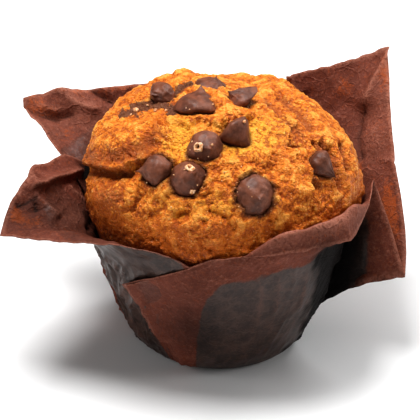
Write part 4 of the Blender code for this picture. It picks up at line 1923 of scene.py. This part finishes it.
    def give_thickness(self, shape: bmesh.types.BMesh) -> None:
        """Turns the sheet into a closed shell, half of it to each side, and marks the outside."""
        shape.normal_update()
        offset = shape.verts.layers.float_vector.new("offset")
        outside = shape.verts.layers.float.new("outside")
        for vertex in shape.verts:
            vertex[offset] = vertex.normal * self.thickness / 2
        made = bmesh.ops.extrude_face_region(shape, geom=shape.faces[:], use_keep_orig=True)
        for vertex in made["geom"]:
            if isinstance(vertex, bmesh.types.BMVert):
                vertex[offset] = -vertex[offset]
                vertex[outside] = 1.0
        low, high = millimetres(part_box("paper_case"))
        places = places_of(shape) + np.array([vertex[offset] for vertex in shape.verts])
        move_points(shape, np.clip(places, low, high))
        shape.verts.layers.float_vector.remove(offset)
        bmesh.ops.recalc_face_normals(shape, faces=shape.faces)

    def clear_of_cake(self, places: np.ndarray, layer: np.ndarray) -> np.ndarray:
        """Moves out what would be inside the cake.

        Args:
            places: The sheet's points.
            layer: How many layers of the sheet lie under each.

        Returns:
            The points, with those inside the cake moved out from its axis.
        """
        cleared = places.copy()
        for number in np.nonzero(places[:, 2] > self.lowest_cake)[0]:
            place = Vector(places[number])
            outward = Vector((place.x, place.y, 0)).normalized()
            axis = Vector((0, 0, place.z))
            hit, _, _, distance = self.cake.ray_cast(axis, outward, self.widest_cake)
            if hit is None:
                continue
            least = distance + self.cake_gap + self.layer_gap * layer[number]
            if (place - axis).length < least:
                cleared[number] = axis + outward * least
        return cleared


# Crumbs


@dataclass(frozen=True)
class Crumb:
    """A loose crumb at a place on the face. A ring is one with a hole in it."""

    u: float
    v: float
    size: float
    ring: bool = False


@dataclass
class Crumbs:
    """The loose crumbs that lie on the chips and round them.

    Some are placed and the others scattered over a part of the face. A ring's radius and
    thickness are shares of its size. The noise seed gives the crumbs' bumps.
    """

    cake: BVHTree
    chips: BVHTree
    finish: CrumbFinish = field(default_factory=CrumbFinish)
    placed: tuple[Crumb, ...] = (
        Crumb(-6.6, 9.6, 1.45, True),
        Crumb(-9.8, 2.6, 1.4, True),
        Crumb(-8.9, -4.4, 0.7),
        Crumb(-26.8, 21.4, 0.7),
        Crumb(-20.7, 21.5, 0.5),
        Crumb(-17.2, 21.4, 0.45),
        Crumb(-23.0, 23.0, 0.4),
        Crumb(-28.4, 20.0, 0.4),
        Crumb(7.6, 17.8, 0.6),
        Crumb(-2.6, 10.4, 0.45),
    )
    scattered: int = 36
    scatter_from: FacePoint = (-24, -10)
    scatter_to: FacePoint = (12, 24)
    scatter_sizes: tuple[float, float] = (0.10, 0.26)
    seed: int = 5
    noise_seed: int = 185
    stretches: tuple[float, float] = (0.75, 1.25)
    bump_size: float = 0.7
    unevenness: float = 0.4
    showing: float = 0.35
    ring_radius: float = 0.72
    ring_thickness: float = 0.42
    ring_steps: int = 18

    def build(self) -> bpy.types.Object:
        """Adds the crumbs as one piece."""
        crumbs = bmesh.new()
        rng = np.random.default_rng(self.seed)
        noise.seed_set(self.noise_seed)
        for crumb in self.placed:
            self.drop(crumbs, crumb, rng)
        for _ in range(self.scattered):
            u, v = rng.uniform(self.scatter_from, self.scatter_to)
            self.drop(crumbs, Crumb(u, v, rng.uniform(*self.scatter_sizes)), rng)
        return add_piece("loose_crumbs", crumbs, self.finish.make(), Slot.CRUST)

    def drop(self, crumbs: bmesh.types.BMesh, crumb: Crumb, rng: np.random.Generator) -> None:
        """Adds one crumb where it meets the muffin, seen along the face's own direction.

        Args:
            crumbs: The mesh that it is added to.
            crumb: The crumb.
            rng: Draws its shape.
        """
        sight = Face.sight(crumb.u, crumb.v)
        hits = [tree.ray_cast(Face.eye(), sight) for tree in (self.cake, self.chips)]
        found = [hit for hit in hits if hit[0] is not None]
        shift = Vector((rng.uniform(0, 50), 0, 0))
        stretch = Vector(rng.uniform(*self.stretches, 3))
        if not found:
            return
        place, normal, _, _ = min(found, key=lambda hit: hit[3])
        made = self.ring(crumbs, crumb.size) if crumb.ring else self.lump(crumbs, crumb.size)
        for vertex in made:
            place_in_noise = vertex.co / (crumb.size * self.bump_size) + shift
            wobble = noise.noise_vector(place_in_noise)
            vertex.co = (vertex.co + wobble * crumb.size * self.unevenness) * stretch
        turn = normal.to_track_quat("Z", "Y").to_matrix().to_4x4()
        settle = Matrix.Translation(place + normal * crumb.size * self.showing)
        bmesh.ops.transform(crumbs, matrix=settle @ turn, verts=made)

    def lump(self, crumbs: bmesh.types.BMesh, size: float) -> list[bmesh.types.BMVert]:
        """A round crumb at the origin."""
        return bmesh.ops.create_icosphere(crumbs, subdivisions=3, radius=size)["verts"]

    def ring(self, crumbs: bmesh.types.BMesh, size: float) -> list[bmesh.types.BMVert]:
        """A crumb with a hole through it, flat at the origin."""
        turn = Matrix.Rotation(math.radians(90), 4, "X")
        place = Matrix.Translation((size * self.ring_radius, 0, 0)) @ turn
        section = bmesh.ops.create_circle(
            crumbs, segments=8, radius=size * self.ring_thickness, matrix=place
        )["verts"]
        edges = {edge for vertex in section for edge in vertex.link_edges}
        bmesh.ops.spin(
            crumbs,
            geom=section + list(edges),
            cent=(0, 0, 0),
            axis=(0, 0, 1),
            angle=math.tau,
            steps=self.ring_steps,
            use_merge=True,
        )
        linked = set(section)
        waiting = list(section)
        while waiting:
            for edge in waiting.pop().link_edges:
                fresh = set(edge.verts) - linked
                linked |= fresh
                waiting += fresh
        faces = {face for vertex in linked for face in vertex.link_faces}
        bmesh.ops.recalc_face_normals(crumbs, faces=list(faces))
        return list(linked)


# The studio


@dataclass(frozen=True)
class SoftLight:
    """A white lamp, flat and oblong, that faces the muffin. Metres and watts."""

    name: str
    place: tuple[float, float, float]
    size: tuple[float, float]
    power: float

    def build(self, target: Vector) -> None:
        """Adds the lamp."""
        data = bpy.data.lights.new(self.name, "AREA")
        data.shape = "RECTANGLE"
        data.size, data.size_y = self.size
        data.energy = self.power
        lamp = add_object(self.name, data)
        lamp.location = self.place
        lamp.rotation_euler = (target - lamp.location).to_track_quat("-Z", "Y").to_euler()


@dataclass
class Studio:
    """A pale floor, soft lamps and the camera. Lengths are metres, and the lens millimetres."""

    finish: FloorFinish = field(default_factory=FloorFinish)
    target: Vector = field(default_factory=lambda: Face.TARGET * MM)
    lens: float = 166.07
    nearest_seen: float = 0.01
    sky: float = 0.10
    floor_half: float = 4.0
    lamps: tuple[SoftLight, ...] = (
        SoftLight("key", (-0.10, 0.02, 0.60), (0.26, 0.26), 3.5),
        SoftLight("overhead", (0.10, 0.10, 0.72), (0.70, 0.60), 2.0),
        SoftLight("back_right", (0.34, 0.32, 0.40), (0.12, 0.16), 0.9),
        SoftLight("left_strip", (-0.55, -0.10, 0.20), (0.08, 0.4), 0.6),
        SoftLight("right_strip", (0.55, -0.12, 0.30), (0.10, 0.4), 0.7),
        SoftLight("front_fill", (0.05, -0.75, 0.45), (0.5, 0.3), 0.22),
    )

    def build(self) -> None:
        """Adds the floor, the lamps, the sky and the camera."""
        self.add_floor()
        for lamp in self.lamps:
            lamp.build(self.target)
        self.add_sky()
        self.add_camera()
        bpy.context.scene.view_settings.view_transform = "Standard"
        bpy.context.scene.view_settings.look = "Medium High Contrast"

    def add_floor(self) -> None:
        """Adds the floor, which isn't part of the muffin."""
        grid = bmesh.new()
        bmesh.ops.create_grid(grid, x_segments=1, y_segments=1, size=self.floor_half)
        mesh = bpy.data.meshes.new("floor")
        grid.to_mesh(mesh)
        grid.free()
        mesh.materials.append(self.finish.make())
        floor = add_object("floor", mesh)

    def add_sky(self) -> None:
        """Lights the scene evenly from all round."""
        world = bpy.data.worlds.new("soft_sky")
        world.use_nodes = True
        sky = world.node_tree.nodes["Background"]
        sky.inputs["Color"].default_value = (1, 1, 1, 1)
        sky.inputs["Strength"].default_value = self.sky
        bpy.context.scene.world = world

    def add_camera(self) -> None:
        """Adds the camera, in front of the muffin and 30 degrees above it."""
        data = bpy.data.cameras.new("camera")
        data.lens = self.lens
        data.clip_start = self.nearest_seen
        camera = add_object("camera", data)
        camera.location = Face.eye() * MM
        camera.rotation_euler = (math.pi / 2 - Face.RISE, 0, 0)
        bpy.context.scene.camera = camera


def main() -> None:
    """Builds the muffin from the chips down to the paper, then the studio round it."""
    logging.basicConfig(level=logging.INFO, format="%(name)s: %(message)s")
    cup = Cup()
    chips = ChocolateChips().build()
    cake = Cake(cup, chips).build()
    Crumbs(cake, chips).build()
    PaperCase(cup, cake).build()
    Studio().build()


if __name__ == "__main__":
    main()
